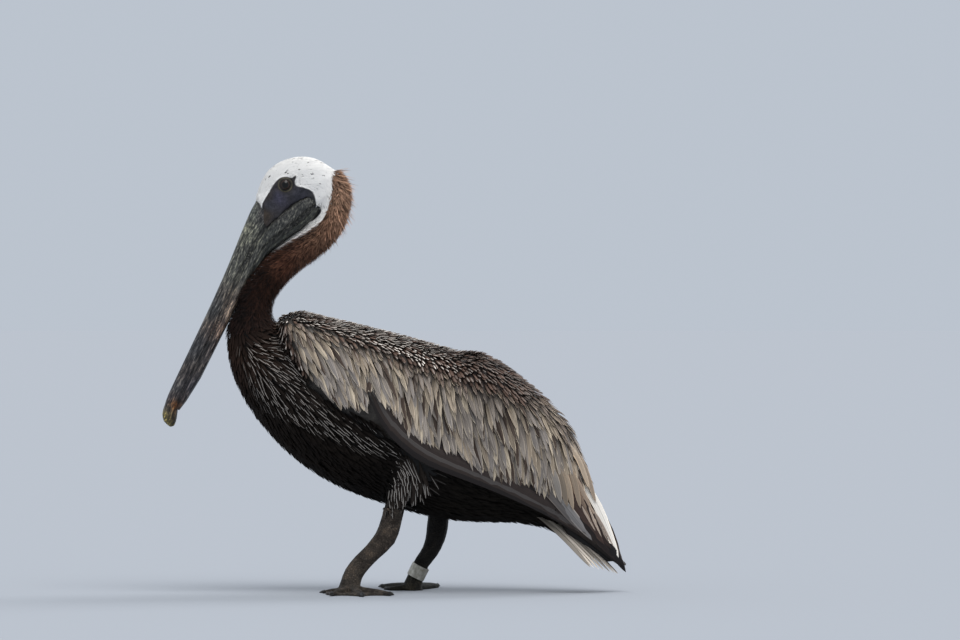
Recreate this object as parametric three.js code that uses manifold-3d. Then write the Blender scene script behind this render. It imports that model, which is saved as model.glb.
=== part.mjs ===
// A life-size brown pelican, standing still with its wings folded and its bill lowered.
// Units are millimetres and +Z is up. The bird faces -X, and its left side is towards -Y.
// The origin is on the floor, under the middle of the bird.
import * as THREE from "three";
import { mergeVertices } from "three/addons/utils/BufferGeometryUtils.js";
import Module from "manifold-3d";

const wasm = await Module();
wasm.setup();

// Driving dimensions.
const GAP = 0.35; // between neighbouring pieces
const CLEANING = 0.22; // the most that tidying a cut piece's facets may move its surface
const SMOOTHING = 2; // rings between two stations of a body piece
const EYE_RADIUS = 8.6;
const EYE_PLACE = [-142, 18.3, 529]; // centre of the right eye; the left eye mirrors it
const WEB_THICKNESS = 2.6;
const BAND = { radius: 11.9, wall: 1.1, height: 17, low: [25.8, 49.3, 17.2], high: [36, 47.9, 37.5] };

// ---- Making and joining solids ----

// The solid inside a closed geometry, with its faces turned outwards.
function solidOf(geometry) {
  const bare = geometry.clone();
  for (const name of Object.keys(bare.attributes)) {
    if (name !== "position") bare.deleteAttribute(name);
  }
  const merged = mergeVertices(bare, 1e-4);
  const triVerts = new Uint32Array(merged.index.array);
  const vertProperties = new Float32Array(merged.attributes.position.array);
  const made = new wasm.Manifold(new wasm.Mesh({ numProp: 3, vertProperties, triVerts }));
  if (made.volume() > 0) return made;
  for (let i = 0; i < triVerts.length; i += 3) {
    [triVerts[i], triVerts[i + 1]] = [triVerts[i + 1], triVerts[i]];
  }
  return new wasm.Manifold(new wasm.Mesh({ numProp: 3, vertProperties, triVerts }));
}

// The geometry of a solid's surface.
function geometryOf(solid) {
  const mesh = solid.getMesh();
  const geometry = new THREE.BufferGeometry();
  geometry.setAttribute("position", new THREE.BufferAttribute(new Float32Array(mesh.vertProperties), 3));
  geometry.setIndex(new THREE.BufferAttribute(new Uint32Array(mesh.triVerts), 1));
  geometry.computeVertexNormals();
  return geometry;
}

// The largest body of a solid, without the crumbs that a cut can leave.
const largest = (solid) => solid.decompose().sort((a, b) => b.volume() - a.volume())[0];

// A closed skin over rings of points, each ring a loop of the same number of points. Each end is closed by a
// strip that runs across its ring from the first and the last point to the ones halfway round.
function skinOver(rings) {
  const sides = rings[0].length;
  const faces = [];
  for (let i = 0; i + 1 < rings.length; i++) {
    for (let j = 0; j < sides; j++) {
      const [a, b] = [i * sides + j, i * sides + ((j + 1) % sides)];
      faces.push(a, b, a + sides, b, b + sides, a + sides);
    }
  }
  const last = (rings.length - 1) * sides;
  for (let i = 0, j = sides - 1; i + 1 < j; i++, j--) {
    faces.push(i + 1, i, j, last + i, last + i + 1, last + j);
    if (i + 1 < j - 1) faces.push(i + 1, j, j - 1, last + i + 1, last + j - 1, last + j);
  }
  return solidOf(new THREE.BufferGeometry().setFromPoints(rings.flat()).setIndex(faces));
}

// The same rings, with the first and the last one moved outwards to lengthen the piece at both ends.
function lengthened(rings, extra) {
  const step = rings[0].length >> 1;
  const centre = (ring) => ring[0].clone().add(ring[step]).multiplyScalar(0.5);
  const outwards = (end, inner) => centre(end).sub(centre(inner)).setLength(extra);
  const first = rings[0].map((p) => p.clone().add(outwards(rings[0], rings[1])));
  const last = rings.at(-1).map((p) => p.clone().add(outwards(rings.at(-1), rings.at(-2))));
  return [first, ...rings.slice(1, -1), last];
}

// Values between stations, on one smooth curve through each column of numbers.
function between(stations, steps) {
  const columns = stations[0].length;
  const curves = [];
  for (let c = 0; c < columns; c++) {
    const points = stations.map((station) => new THREE.Vector3(station[c], 0, 0));
    curves.push(new THREE.CatmullRomCurve3(points, false, "catmullrom"));
  }
  const count = (stations.length - 1) * steps;
  return Array.from({ length: count + 1 }, (_, i) => curves.map((curve) => curve.getPoint(i / count).x));
}

// One point of a superellipse: power 2 is an ellipse, and a larger power is squarer.
function superellipse(angle, power) {
  const bulge = (n) => Math.sign(n) * Math.abs(n) ** (2 / power);
  return [bulge(Math.cos(angle)), bulge(Math.sin(angle))];
}

// A body piece, symmetric about the bird's middle plane. A station is the place of its upper line, the place
// of its lower line and its half width. egg makes the lower half wider, and grow adds that much all round.
function bodyPiece(stations, { sides = 16, power = 2, egg = 0, grow = 0, steps = SMOOTHING } = {}) {
  const rings = between(stations, steps).map(([topX, topZ, lowX, lowZ, half]) => {
    const middle = new THREE.Vector3((topX + lowX) / 2, 0, (topZ + lowZ) / 2);
    const up = new THREE.Vector3((topX - lowX) / 2, 0, (topZ - lowZ) / 2);
    up.setLength(up.length() + grow);
    return Array.from({ length: sides }, (_, j) => {
      const [c, s] = superellipse((2 * Math.PI * j) / sides, power);
      const across = (half + grow) * s * (1 - egg * c);
      return middle.clone().addScaledVector(up, c).add(new THREE.Vector3(0, across, 0));
    });
  });
  return skinOver(lengthened(rings, grow));
}

// A limb: a tube through joints, each [x, y, z, half depth fore and aft, half width across].
function limb(joints, { sides = 10, steps = 2, grow = 0 } = {}) {
  const stations = between(joints, steps);
  const at = (i) => new THREE.Vector3(...stations[Math.min(Math.max(i, 0), stations.length - 1)].slice(0, 3));
  const rings = stations.map(([x, y, z, depth, width], i) => {
    const along = at(i + 1).sub(at(i - 1)).normalize();
    const across = new THREE.Vector3(0, 1, 0).addScaledVector(along, -along.y).normalize();
    const fore = new THREE.Vector3().crossVectors(across, along);
    return Array.from({ length: sides }, (_, j) => {
      const angle = (2 * Math.PI * j) / sides;
      return new THREE.Vector3(x, y, z)
        .addScaledVector(fore, (depth + grow) * Math.cos(angle))
        .addScaledVector(across, (width + grow) * Math.sin(angle));
    });
  });
  return skinOver(lengthened(rings, grow));
}

// Both parts of a solid that is cut through a point of the bird's middle plane: the part before the cut and
// the part after it, in the direction that the cut is facing.
function parted(solid, { at: [x, z], towards: [dx, dz] }) {
  const length = Math.hypot(dx, dz);
  const normal = [dx / length, 0, dz / length];
  const place = x * normal[0] + z * normal[2];
  const before = solid.trimByPlane(normal.map((n) => -n), GAP / 2 - place);
  const after = solid.trimByPlane(normal, GAP / 2 + place);
  return [before, after];
}

// The same solid on the bird's other side.
const mirrored = (solid) => solid.mirror([0, 1, 0]);

// ---- Colours ----

function finish(color, roughness, metalness = 0) {
  return new THREE.MeshStandardMaterial({ color, roughness, metalness });
}
const materials = {
  whitePlumage: finish(0xdededc, 0.9),
  brownPlumage: finish(0x4a3226, 0.9),
  darkPlumage: finish(0x262320, 0.85),
  silverPlumage: finish(0x7d746b, 0.8),
  greyPlumage: finish(0x8c857d, 0.8),
  billHorn: finish(0x55544f, 0.55),
  nailHorn: finish(0x6b5f34, 0.4),
  pouchSkin: finish(0x4a403b, 0.6),
  legSkin: finish(0x38332f, 0.65),
  clawHorn: finish(0x1d1a18, 0.4),
  eye: finish(0x2a211c, 0.05),
  metalBand: finish(0x9a988c, 0.45, 0.9),
};

const pelican = new THREE.Group();

// Adds one named piece to the bird.
function add(name, solid, material) {
  const mesh = new THREE.Mesh(geometryOf(largest(solid).simplify(CLEANING)), material);
  mesh.name = name;
  pelican.add(mesh);
}

// ---- Bill ----
// The upper half runs from the forehead to the nail, the lower half from the cheek, and the pouch is drawn up
// under the lower half. Each station is [upper x, upper z, lower x, lower z, half width].

const upperBill = [
  [-181, 509.5, -153, 488, 17],
  [-198, 470, -178, 457, 20],
  [-214, 430, -198, 421, 18.5],
  [-234, 384, -218, 376, 17.5],
  [-256, 337, -239, 330, 16.5],
  [-278.5, 290, -262, 285, 16.5],
  [-294, 257, -279, 252, 15.5],
  [-299, 243, -285, 240, 13],
];
const nail = [
  [-299.5, 242, -282.5, 239, 12],
  [-302, 232, -283.5, 230.5, 10.5],
  [-300, 222, -285, 222.5, 7.5],
  [-292, 215, -287.5, 216.5, 3],
];
const lowerBill = [
  [-107, 520, -98, 506, 22],
  [-124, 512, -110, 493, 28],
  [-143, 498, -127, 479, 27],
  [-160, 482, -146, 464, 24],
  [-179, 456.8, -168, 448.5, 20.5],
  [-197.6, 420.6, -187, 412.5, 18],
  [-217.6, 375.6, -207.5, 369, 17],
  [-238.6, 329.6, -230.5, 323, 16],
  [-261.6, 284.6, -253, 278, 15.5],
  [-278.6, 251.6, -271.5, 248.5, 14],
  [-284.5, 239.5, -280.5, 236.5, 10],
];
const pouch = [
  [-103, 503, -97, 494, 21],
  [-113, 492, -107, 483, 24.5],
  [-129, 478, -121, 470.5, 24],
  [-147, 463, -141.5, 457.5, 22],
  [-168, 446, -163, 441, 18],
  [-190, 414, -185.5, 411, 13],
  [-208, 375, -205, 373, 8],
];
const upperHalf = (grow) => bodyPiece(upperBill, { power: 3.2, sides: 12, grow });
const lowerHalf = (grow) => bodyPiece(lowerBill, { power: 3, sides: 10, grow, steps: 1 });
const pouchSkin = (grow) => bodyPiece(pouch, { sides: 10, grow, steps: 1 });
const bill = (grow) => upperHalf(grow).add(lowerHalf(grow)).add(pouchSkin(grow));

// ---- Head, with its eyes ----

const headStations = [
  [-184, 503, -156, 452, 19],
  [-179, 525, -138, 457, 22.5],
  [-168, 547, -118, 468, 24.5],
  [-150, 561, -102, 480, 26],
  [-127, 567.5, -88, 491, 27.5],
  [-105, 565.5, -80, 505, 26],
  [-88, 556.5, -77, 521, 20],
  [-76, 548, -75, 536, 8],
];
const headWhole = (grow = 0) => bodyPiece(headStations, { power: 2.2, sides: 12, grow });
const eye = (grow = 0) => {
  const ball = new THREE.SphereGeometry(EYE_RADIUS + grow, 12, 6);
  return solidOf(ball.translate(...EYE_PLACE));
};
const eyes = (grow) => eye(grow).add(mirrored(eye(grow)));
const headSolid = headWhole().subtract(bill(2 * GAP)).subtract(eyes(2 * GAP)).simplify(2.5 * CLEANING);

// ---- Neck ----
// An S from the back of the head, where the mane stands out, down to the breast.

const neckStations = [
  [-70, 550, -97, 527, 14],
  [-57, 527, -95, 512, 23],
  [-58, 500, -98, 494, 26],
  [-67, 472, -112, 478, 27],
  [-88, 444, -134, 461, 26.5],
  [-118, 421, -157, 442, 25.5],
  [-140.5, 400.5, -178, 421, 25],
  [-154, 382, -199, 395, 25.5],
  [-159, 365, -212, 370, 28],
  [-154, 350, -219, 344, 34],
  [-134, 332, -219, 319, 46],
  [-118, 318, -213, 290, 58],
];
const neckWhole = (grow = 0) => bodyPiece(neckStations, { sides: 12, grow });
const NECK_CUTS = {
  upper: { at: [-117, 444], towards: [-0.8, -0.6] },
  middle: { at: [-176, 392], towards: [-0.35, -0.94] },
  lower: { at: [-186, 347], towards: [0.1, -1] },
};

// ---- Trunk, in two lengths, and the tail ----

const trunkStations = [
  [-150, 338, -219, 322, 36],
  [-128, 338, -214, 288, 56],
  [-97, 340, -195, 246, 70],
  [-60, 336, -163, 203, 80],
  [-20, 328, -122, 165, 85],
  [25, 318, -70, 134, 87],
  [72, 304, -12, 113, 85],
  [118, 290, 47, 96.5, 79],
  [158, 262, 105, 89.5, 68],
  [188, 222, 150, 89.5, 54],
  [209, 180, 185, 84, 38],
  [222, 140, 208, 76, 24],
  [229, 108, 220, 70, 12],
];
const trunkWhole = (grow = 0) => bodyPiece(trunkStations, { sides: 14, power: 2.15, egg: 0.06, grow });
const RUMP_CUT = { at: [150, 170], towards: [0.94, -0.34] };

// The tail is a shallow roof of feathers, wider than it is deep, that widens towards its tip.
const TAIL = {
  root: [176, 116],
  tip: [290, 25],
  rootHalf: 24,
  tipHalf: 43,
  thickness: 6,
  drop: 13, // of its side edges under its middle line
  rounding: 34, // how much shorter the outermost feather is than the middle one
};
function tail(grow = 0) {
  const [rootX, rootZ] = TAIL.root;
  const [tipX, tipZ] = TAIL.tip;
  const slope = new THREE.Vector3(tipX - rootX, 0, tipZ - rootZ).normalize();
  const above = new THREE.Vector3(-slope.z, 0, slope.x);
  const lengths = 5;
  const across = 10;
  const rings = Array.from({ length: lengths + 1 }, (_, i) => {
    const share = i / lengths;
    const rounding = share > 0.9 ? 0.94 : 1;
    const half = THREE.MathUtils.lerp(TAIL.rootHalf, TAIL.tipHalf, share ** 0.8) * rounding + grow;
    const edge = (side) =>
      Array.from({ length: across + 1 }, (_, j) => {
        const u = (side * (2 * j - across)) / across;
        const shorter = TAIL.rounding * u * u * share;
        const x = THREE.MathUtils.lerp(rootX, tipX, share) - slope.x * shorter;
        const z = THREE.MathUtils.lerp(rootZ, tipZ, share) - slope.z * shorter;
        const thick = THREE.MathUtils.lerp(2.2, 1, share) * TAIL.thickness * 0.5 * (1 - 0.6 * u * u) + grow;
        const lift = side * thick - TAIL.drop * u * u;
        return new THREE.Vector3(x, half * u, z).addScaledVector(above, lift);
      });
    return [...edge(1), ...edge(-1)];
  });
  return skinOver(lengthened(rings, grow));
}

// ---- Wings ----
// A folded wing is a shell on the side of the trunk, from the bend at the shoulder to its tip over the tail.
// A station is [x, top z, bottom z, reach from the middle plane, reach of its lower edge, z of widest line].

const wingStations = [
  [-149.5, 356, 341, 46, 40, 348],
  [-147, 361, 322, 62, 58, 342],
  [-138, 365, 305, 74, 70, 334],
  [-120, 367, 280, 85, 78, 322],
  [-90, 359, 252, 95, 86, 306],
  [-50, 350, 226, 101, 91, 290],
  [-5, 339, 198, 104, 92, 272],
  [40, 327, 165, 104, 88, 254],
  [82, 315, 148, 101, 80, 240],
  [112, 313.5, 136, 96.5, 72, 227],
  [136, 302, 127, 91, 64, 213],
  [160, 285, 118, 85, 56, 200],
  [192, 259, 104, 71, 42, 170],
  [220, 231, 86, 56, 30, 140],
  [233, 213, 79, 50, 26, 125],
  [247, 174, 70, 42, 22, 108],
  [268, 114, 53, 31, 17, 78],
  [284, 66, 38, 21, 13, 50],
  [300.5, 36, 27, 12, 10, 31],
];
const INNER = 1.5; // the wing's clearance from the middle plane
function wingPod() {
  const upper = 5;
  const rings = between(wingStations, 1).map(([x, top, bottom, reach, lower, widest]) => {
    const ring = [];
    for (let j = 0; j <= upper; j++) {
      const [c, s] = superellipse((Math.PI * j) / (2 * upper), 2.25);
      ring.push(new THREE.Vector3(x, -(INNER + (reach - INNER) * s), widest + (top - widest) * c));
    }
    for (let j = upper - 1; j >= 0; j--) {
      const [c, s] = superellipse((Math.PI * j) / (2 * upper), 1.9);
      ring.push(new THREE.Vector3(x, -(lower + (reach - lower) * s), widest - (widest - bottom) * c));
    }
    const inner = Math.max(INNER, Math.min(lower - 8, lower * 0.8));
    ring.push(new THREE.Vector3(x, -inner, bottom + 1));
    ring.push(new THREE.Vector3(x, -INNER, widest));
    return ring;
  });
  return skinOver(rings);
}
const insideWings = trunkWhole(GAP).add(tail(GAP)).add(neckWhole(GAP));
const wing = wingPod().subtract(insideWings).subtract(mirrored(insideWings));
// Where the covert feathers end over the long flight feathers, and where the forearm begins.
const HAND_CUT = { at: [-34, 258], towards: [-0.43, -0.9] };
const FOREARM_CUT = { at: [-15, 290], towards: [0.94, 0.34] };
const [arm, flightFeathers] = parted(wing, HAND_CUT);
const [shoulder, forearm] = parted(arm, FOREARM_CUT);

// ---- Legs ----
// Each leg is one bent limb, parted at its joints into a feathered thigh, a shank, a tarsus and the ankle of
// a foot of four webbed toes. A joint is [x, y, z, half depth fore and aft, half width across].
// The feet are turned outwards, so that their hind toes carry the bird's weight behind its ankles.

const legs = {
  left: {
    side: -1,
    limb: [
      [36, -52, 205, 40, 20],
      [16, -58, 160, 30, 20],
      [3, -50, 128, 17, 15],
      [-1, -45, 108, 13, 11],
      [-5, -43, 91, 13, 9.5],
      [-12, -43, 72, 13.4, 10.5],
      [-28, -45, 54, 11.2, 8.7],
      [-42, -47, 40, 11.4, 7.8],
      [-52.5, -49, 26, 11.8, 8.4],
      [-57, -50, 12, 12.8, 10.3],
      [-59, -50, 0, 15, 13.5],
    ],
    knee: { at: [0, 110], towards: [-0.1, -1] },
    heel: { at: [-13, 69], towards: [-0.6, -0.8] },
    ankle: { at: [-56, 15], towards: [0, -1] },
    foot: [-56, -50],
    turn: 100,
  },
  right: {
    side: 1,
    limb: [
      [66, 52, 205, 40, 20],
      [60, 58, 150, 26, 20],
      [57, 50, 118, 15, 14],
      [56, 45, 97, 13, 11],
      [55, 44, 85, 13.4, 9.8],
      [52, 44, 68, 12.2, 10.2],
      [45, 46, 51, 10.4, 8.2],
      [35, 48, 37, 9.5, 7],
      [28, 49, 23, 9.5, 7.4],
      [23.5, 50, 9.5, 11.2, 10],
      [22, 50, 0, 14.5, 13.5],
    ],
    knee: { at: [57, 99], towards: [-0.1, -1] },
    heel: { at: [51, 66], towards: [-0.35, -0.94] },
    ankle: { at: [25, 14.5], towards: [0, -1] },
    foot: [25, 50],
    turn: 83,
  },
};
// The toes, from the hind one to the outer one: angle from the middle toe, towards the outer side, and sizes.
const toes = [
  { angle: -98, length: 33, radius: 4.2, claw: 8 },
  { angle: -28, length: 74, radius: 4.8, claw: 11 },
  { angle: 0, length: 92, radius: 5, claw: 12 },
  { angle: 27, length: 84, radius: 4.8, claw: 10 },
];

function toePoint(leg, toe, share, height) {
  const angle = THREE.MathUtils.degToRad(leg.turn + toe.angle);
  const [x, y] = leg.foot;
  const reach = toe.length * share;
  return [x - Math.cos(angle) * reach, y + leg.side * Math.sin(angle) * reach, height];
}

// One toe, thick at its root and at its joints, flat where it rests on the floor.
function toeSolid(leg, toe) {
  const joints = [0, 0.3, 0.72, 1].map((share, i) => {
    const radius = toe.radius * [1.5, 1.05, 0.85, 0.62][i];
    return [...toePoint(leg, toe, share, radius - 0.7), radius, radius];
  });
  return limb(joints, { sides: 7, steps: 1 }).trimByPlane([0, 0, 1], 0);
}

// The web between the toes, with its free edge drawn in between the toe tips.
function webSolid(leg) {
  const edge = [];
  toes.forEach((toe, i) => {
    if (i > 0) {
      for (const share of [0.25, 0.5, 0.75]) {
        const before = toes[i - 1];
        const angle = THREE.MathUtils.lerp(before.angle, toe.angle, share);
        const sag = 1 - 0.2 * Math.sin(Math.PI * share);
        const length = THREE.MathUtils.lerp(before.length, toe.length, share) * sag;
        edge.push(toePoint(leg, { angle, length }, 0.93, 0));
      }
    }
    edge.push(toePoint(leg, toe, 0.93, 0));
  });
  const outline = [[leg.foot[0], leg.foot[1]], ...edge].map(([x, y]) => new THREE.Vector2(x, y));
  const shape = new THREE.Shape(leg.side > 0 ? outline : outline.reverse());
  const web = new THREE.ExtrudeGeometry(shape, { depth: WEB_THICKNESS, bevelEnabled: false });
  return solidOf(web);
}

// The foot: the end of the leg, the toes and the web, cut off level below and parted from the leg above.
function footSolid(leg, legEnd) {
  const whole = toes.reduce((foot, toe) => foot.add(toeSolid(leg, toe)), legEnd.add(webSolid(leg)));
  return parted(whole, leg.ankle)[1].trimByPlane([0, 0, 1], 0);
}

// A claw hooks down from the tip of its toe and ends just above the floor.
function clawSolid(leg, toe) {
  const radius = toe.radius * 0.62;
  const reach = (extra) => 1 + extra / toe.length;
  return limb(
    [
      [...toePoint(leg, toe, reach(GAP), radius + 0.2), radius, radius],
      [...toePoint(leg, toe, reach(toe.claw * 0.5), radius - 0.1), radius * 0.7, radius * 0.7],
      [...toePoint(leg, toe, reach(toe.claw), radius * 0.62), 0.5, 0.5],
    ],
    { sides: 6, steps: 2 },
  );
}

// ---- Leg band: a plain metal ring above the right foot ----

function bandSolid() {
  const { radius, wall, height } = BAND;
  const low = new THREE.Vector3(...BAND.low);
  const along = new THREE.Vector3(...BAND.high).sub(low).normalize();
  const inner = radius - wall;
  const profile = [[inner, 0], [radius, 0], [radius, height], [inner, height], [inner, 0]];
  const points = profile.map(([r, h]) => new THREE.Vector2(r, h));
  const ring = new THREE.LatheGeometry(points, 16);
  ring.applyQuaternion(new THREE.Quaternion().setFromUnitVectors(new THREE.Vector3(0, 1, 0), along));
  return solidOf(ring.translate(low.x, low.y, low.z));
}

// ---- Putting the bird together ----

add("bill_upper", upperHalf(), materials.billHorn);
const nailSolid = bodyPiece(nail, { sides: 10 }).subtract(upperHalf(GAP)).subtract(lowerHalf(GAP));
add("bill_nail", nailSolid, materials.nailHorn);
add("bill_lower", lowerHalf().subtract(upperHalf(GAP)), materials.billHorn);
add("pouch", pouchSkin().subtract(lowerHalf(GAP)), materials.pouchSkin);
add("head", headSolid, materials.whitePlumage);
add("eye_left", mirrored(eye()), materials.eye);
add("eye_right", eye(), materials.eye);

const neck = neckWhole().subtract(headWhole(GAP)).subtract(bill(GAP));
const [upperNeck, restOfNeck] = parted(neck, NECK_CUTS.upper);
const [middleNeck, lowerPart] = parted(restOfNeck, NECK_CUTS.middle);
const [lowerNeck] = parted(lowerPart, NECK_CUTS.lower);
add("neck_upper", upperNeck, materials.brownPlumage);
add("neck_middle", middleNeck, materials.brownPlumage);
add("neck_lower", lowerNeck, materials.brownPlumage);

const [, neckRoot] = parted(neckWhole(), NECK_CUTS.lower);
const [, body] = parted(trunkWhole().add(neckRoot).subtract(bill(GAP)), NECK_CUTS.lower);
const [trunk, rump] = parted(body, RUMP_CUT);
add("trunk", trunk, materials.darkPlumage);
add("rump", rump, materials.darkPlumage);
add("tail", tail().subtract(trunkWhole(GAP)), materials.greyPlumage);

for (const [name, solid] of Object.entries({ shoulder, forearm, flight_feathers: flightFeathers })) {
  add(`wing_left_${name}`, solid, materials.silverPlumage);
  add(`wing_right_${name}`, mirrored(solid), materials.silverPlumage);
}

const bodyAndWings = trunkWhole(GAP).add(wingPod()).add(mirrored(wingPod()));
for (const [side, leg] of Object.entries(legs)) {
  const [thigh, belowKnee] = parted(limb(leg.limb), leg.knee);
  const [shank, belowHeel] = parted(belowKnee, leg.heel);
  const [tarsus, legEnd] = parted(belowHeel, leg.ankle);
  const foot = footSolid(leg, legEnd);
  add(`thigh_${side}`, thigh.subtract(bodyAndWings), materials.darkPlumage);
  add(`shank_${side}`, shank.subtract(bodyAndWings), materials.legSkin);
  add(`tarsus_${side}`, tarsus, materials.legSkin);
  add(`foot_${side}`, foot, materials.legSkin);
  for (const [i, toe] of toes.entries()) {
    add(`claw_${side}_${i + 1}`, clawSolid(leg, toe).subtract(foot), materials.clawHorn);
  }
}
add("leg_band", bandSolid(), materials.metalBand);

export default pelican;
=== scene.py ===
import math

import bpy
import numpy as np
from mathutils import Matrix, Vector, noise
from mathutils.bvhtree import BVHTree
from mathutils.kdtree import KDTree


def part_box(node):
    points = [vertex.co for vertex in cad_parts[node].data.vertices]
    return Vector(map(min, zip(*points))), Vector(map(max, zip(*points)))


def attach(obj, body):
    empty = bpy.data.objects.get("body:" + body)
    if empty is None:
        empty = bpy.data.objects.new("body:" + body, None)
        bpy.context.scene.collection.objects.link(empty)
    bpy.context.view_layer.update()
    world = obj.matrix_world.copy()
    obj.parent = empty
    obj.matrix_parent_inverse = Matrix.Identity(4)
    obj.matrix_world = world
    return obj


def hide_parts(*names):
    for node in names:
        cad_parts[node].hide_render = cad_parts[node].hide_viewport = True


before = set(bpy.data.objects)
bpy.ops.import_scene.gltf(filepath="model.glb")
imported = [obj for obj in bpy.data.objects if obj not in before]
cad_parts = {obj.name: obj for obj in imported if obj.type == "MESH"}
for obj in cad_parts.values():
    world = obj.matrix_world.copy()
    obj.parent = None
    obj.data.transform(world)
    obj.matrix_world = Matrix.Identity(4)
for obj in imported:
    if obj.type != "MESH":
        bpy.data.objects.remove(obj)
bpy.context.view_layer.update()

# ---- The room ----
# A plain pale floor runs into a plain pale sky, with soft studio light from above. The camera stands level,
# at the height of the bird's breast, square to its left side. Helpers that build shaders come here too.

bpy.context.scene.view_settings.view_transform = "Standard"
sky_colour = (0.50, 0.55, 0.62, 1)
aim = Vector((0.1105, 0, 0.3536))
camera_distance = 8.0
view_width = 1.248

sensor_width = 36

bpy.ops.object.camera_add(location=(aim.x, -camera_distance, aim.z), rotation=(math.radians(90), 0, 0))
camera = bpy.context.active_object
camera.data.sensor_width = sensor_width
camera.data.lens = sensor_width * camera_distance / view_width
camera.data.clip_end = 200
bpy.context.scene.camera = camera


def select_only(*pieces):
    bpy.ops.object.select_all(action="DESELECT")
    for piece in pieces:
        piece.select_set(True)
    bpy.context.view_layer.objects.active = pieces[0]


def material(name, roughness=0.6, specular=0.5):
    """A new material with its Principled shader and its node tree."""
    made = bpy.data.materials.new(name)
    made.use_nodes = True
    shader = made.node_tree.nodes["Principled BSDF"]
    shader.inputs["Roughness"].default_value = roughness
    shader.inputs["Specular IOR Level"].default_value = specular
    return made, made.node_tree, shader


class Signal:
    """A number that a shader works out. Arithmetic on it adds math nodes to its tree."""

    def __init__(self, tree, socket):
        self.tree = tree
        self.socket = socket

    def joined(self, operation, a, b=None):
        node = self.tree.nodes.new("ShaderNodeMath")
        node.operation = operation
        for socket, value in zip(node.inputs, (a, b)):
            if value is not None:
                feed(self.tree, socket, value)
        return Signal(self.tree, node.outputs[0])

    def clamped(self):
        """The same number, held between 0 and 1 by the math node that made it."""
        self.socket.node.use_clamp = True
        return self

    def __abs__(self):
        return self.joined("ABSOLUTE", self)

    def __add__(self, other):
        return self.joined("ADD", self, other)

    def __sub__(self, other):
        return self.joined("SUBTRACT", self, other)

    def __rsub__(self, other):
        return self.joined("SUBTRACT", other, self)

    def __mul__(self, other):
        return self.joined("MULTIPLY", self, other)

    def __truediv__(self, other):
        return self.joined("DIVIDE", self, other)

    def __pow__(self, other):
        return self.joined("POWER", self, other)


def feed(tree, socket, value):
    """Links a shader value to a socket, or sets a plain value there."""
    if isinstance(value, Signal):
        value = value.socket
    if isinstance(value, bpy.types.NodeSocket):
        tree.links.new(value, socket)
    else:
        socket.default_value = value


def wire(tree, kind, values=None, **links):
    """A new node with its values set and its inputs linked, by input name or, as _0, by number."""
    node = tree.nodes.new(kind)
    for key, value in (values or {}).items():
        if key in node.inputs:
            node.inputs[key].default_value = value
        else:
            setattr(node, key, value)
    for key, source in links.items():
        feed(tree, node.inputs[int(key[1:])] if key[0] == "_" else node.inputs[key], source)
    return node


def mixed(tree, share, a, b, blend="MIX"):
    """A colour mixed of two, by the share of the second."""
    node = tree.nodes.new("ShaderNodeMix")
    node.data_type = "RGBA"
    node.blend_type = blend
    factor, first, second = 0, 6, 7
    for place, value in ((factor, share), (first, a), (second, b)):
        feed(tree, node.inputs[place], value)
    return node.outputs[2]


def times(tree, colour, factor):
    """A colour multiplied by another colour, or by a number that a shader works out."""
    if isinstance(factor, Signal):
        factor = wire(tree, "ShaderNodeCombineColor", _0=factor, _1=factor, _2=factor).outputs[0]
    return mixed(tree, 1.0, colour, factor, "MULTIPLY")


def ramp(tree, value, stops):
    """A colour or grey for each value, between stops."""
    node = tree.nodes.new("ShaderNodeValToRGB")
    feed(tree, node.inputs[0], value)
    while len(node.color_ramp.elements) < len(stops):
        node.color_ramp.elements.new(0.5)
    for element, (place, colour) in zip(node.color_ramp.elements, stops):
        element.position = place
        element.color = colour if isinstance(colour, tuple) else (colour, colour, colour, 1)
    return node.outputs[0]


def speckle(tree, where, scale, detail, roughness=0.5):
    """Noise over places."""
    values = {"Scale": scale, "Detail": detail, "Roughness": roughness}
    return Signal(tree, wire(tree, "ShaderNodeTexNoise", values, Vector=where).outputs[0])


def held(tree, name, output="Fac"):
    """An attribute of the mesh, as a number (Fac), a Color or a Vector."""
    return Signal(tree, wire(tree, "ShaderNodeAttribute", {"attribute_name": name}).outputs[output])


def own_place(tree):
    return wire(tree, "ShaderNodeTexCoord").outputs["Object"]


def surface(tree, shader, colour, height, strength, distance):
    """Gives a shader its colour, and bumps as deep as a distance."""
    feed(tree, shader.inputs["Base Color"], colour)
    bumped = wire(tree, "ShaderNodeBump", {"Strength": strength, "Distance": distance}, Height=height)
    feed(tree, shader.inputs["Normal"], bumped.outputs[0])


world = bpy.data.worlds.new("soft_sky")
world.use_nodes = True
bpy.context.scene.world = world
tree = world.node_tree
background = tree.nodes["Background"]
background.inputs[0].default_value = (0.93, 0.96, 1.0, 1)
background.inputs[1].default_value = 0.75
backdrop = wire(tree, "ShaderNodeBackground", {"Color": sky_colour, "Strength": 1.0})
both = tree.nodes.new("ShaderNodeMixShader")
seen = tree.nodes.new("ShaderNodeLightPath").outputs
plainly = Signal(tree, seen["Is Camera Ray"])
for ray in ("Is Glossy Ray", "Is Transmission Ray"):
    plainly = plainly.joined("MAXIMUM", plainly, seen[ray])
for socket, value in zip(both.inputs, (plainly, background.outputs[0], backdrop.outputs[0])):
    feed(tree, socket, value)
feed(tree, tree.nodes["World Output"].inputs[0], both.outputs[0])

bpy.ops.mesh.primitive_plane_add(size=400, location=(0, 0, 0))
floor = bpy.context.active_object
floor.name = "floor"
floor_material, tree, shader = material("pale_floor", roughness=1.0, specular=0.0)
shader.inputs["Base Color"].default_value = (0.36, 0.388, 0.432, 1)
floor.data.materials.append(floor_material)


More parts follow.
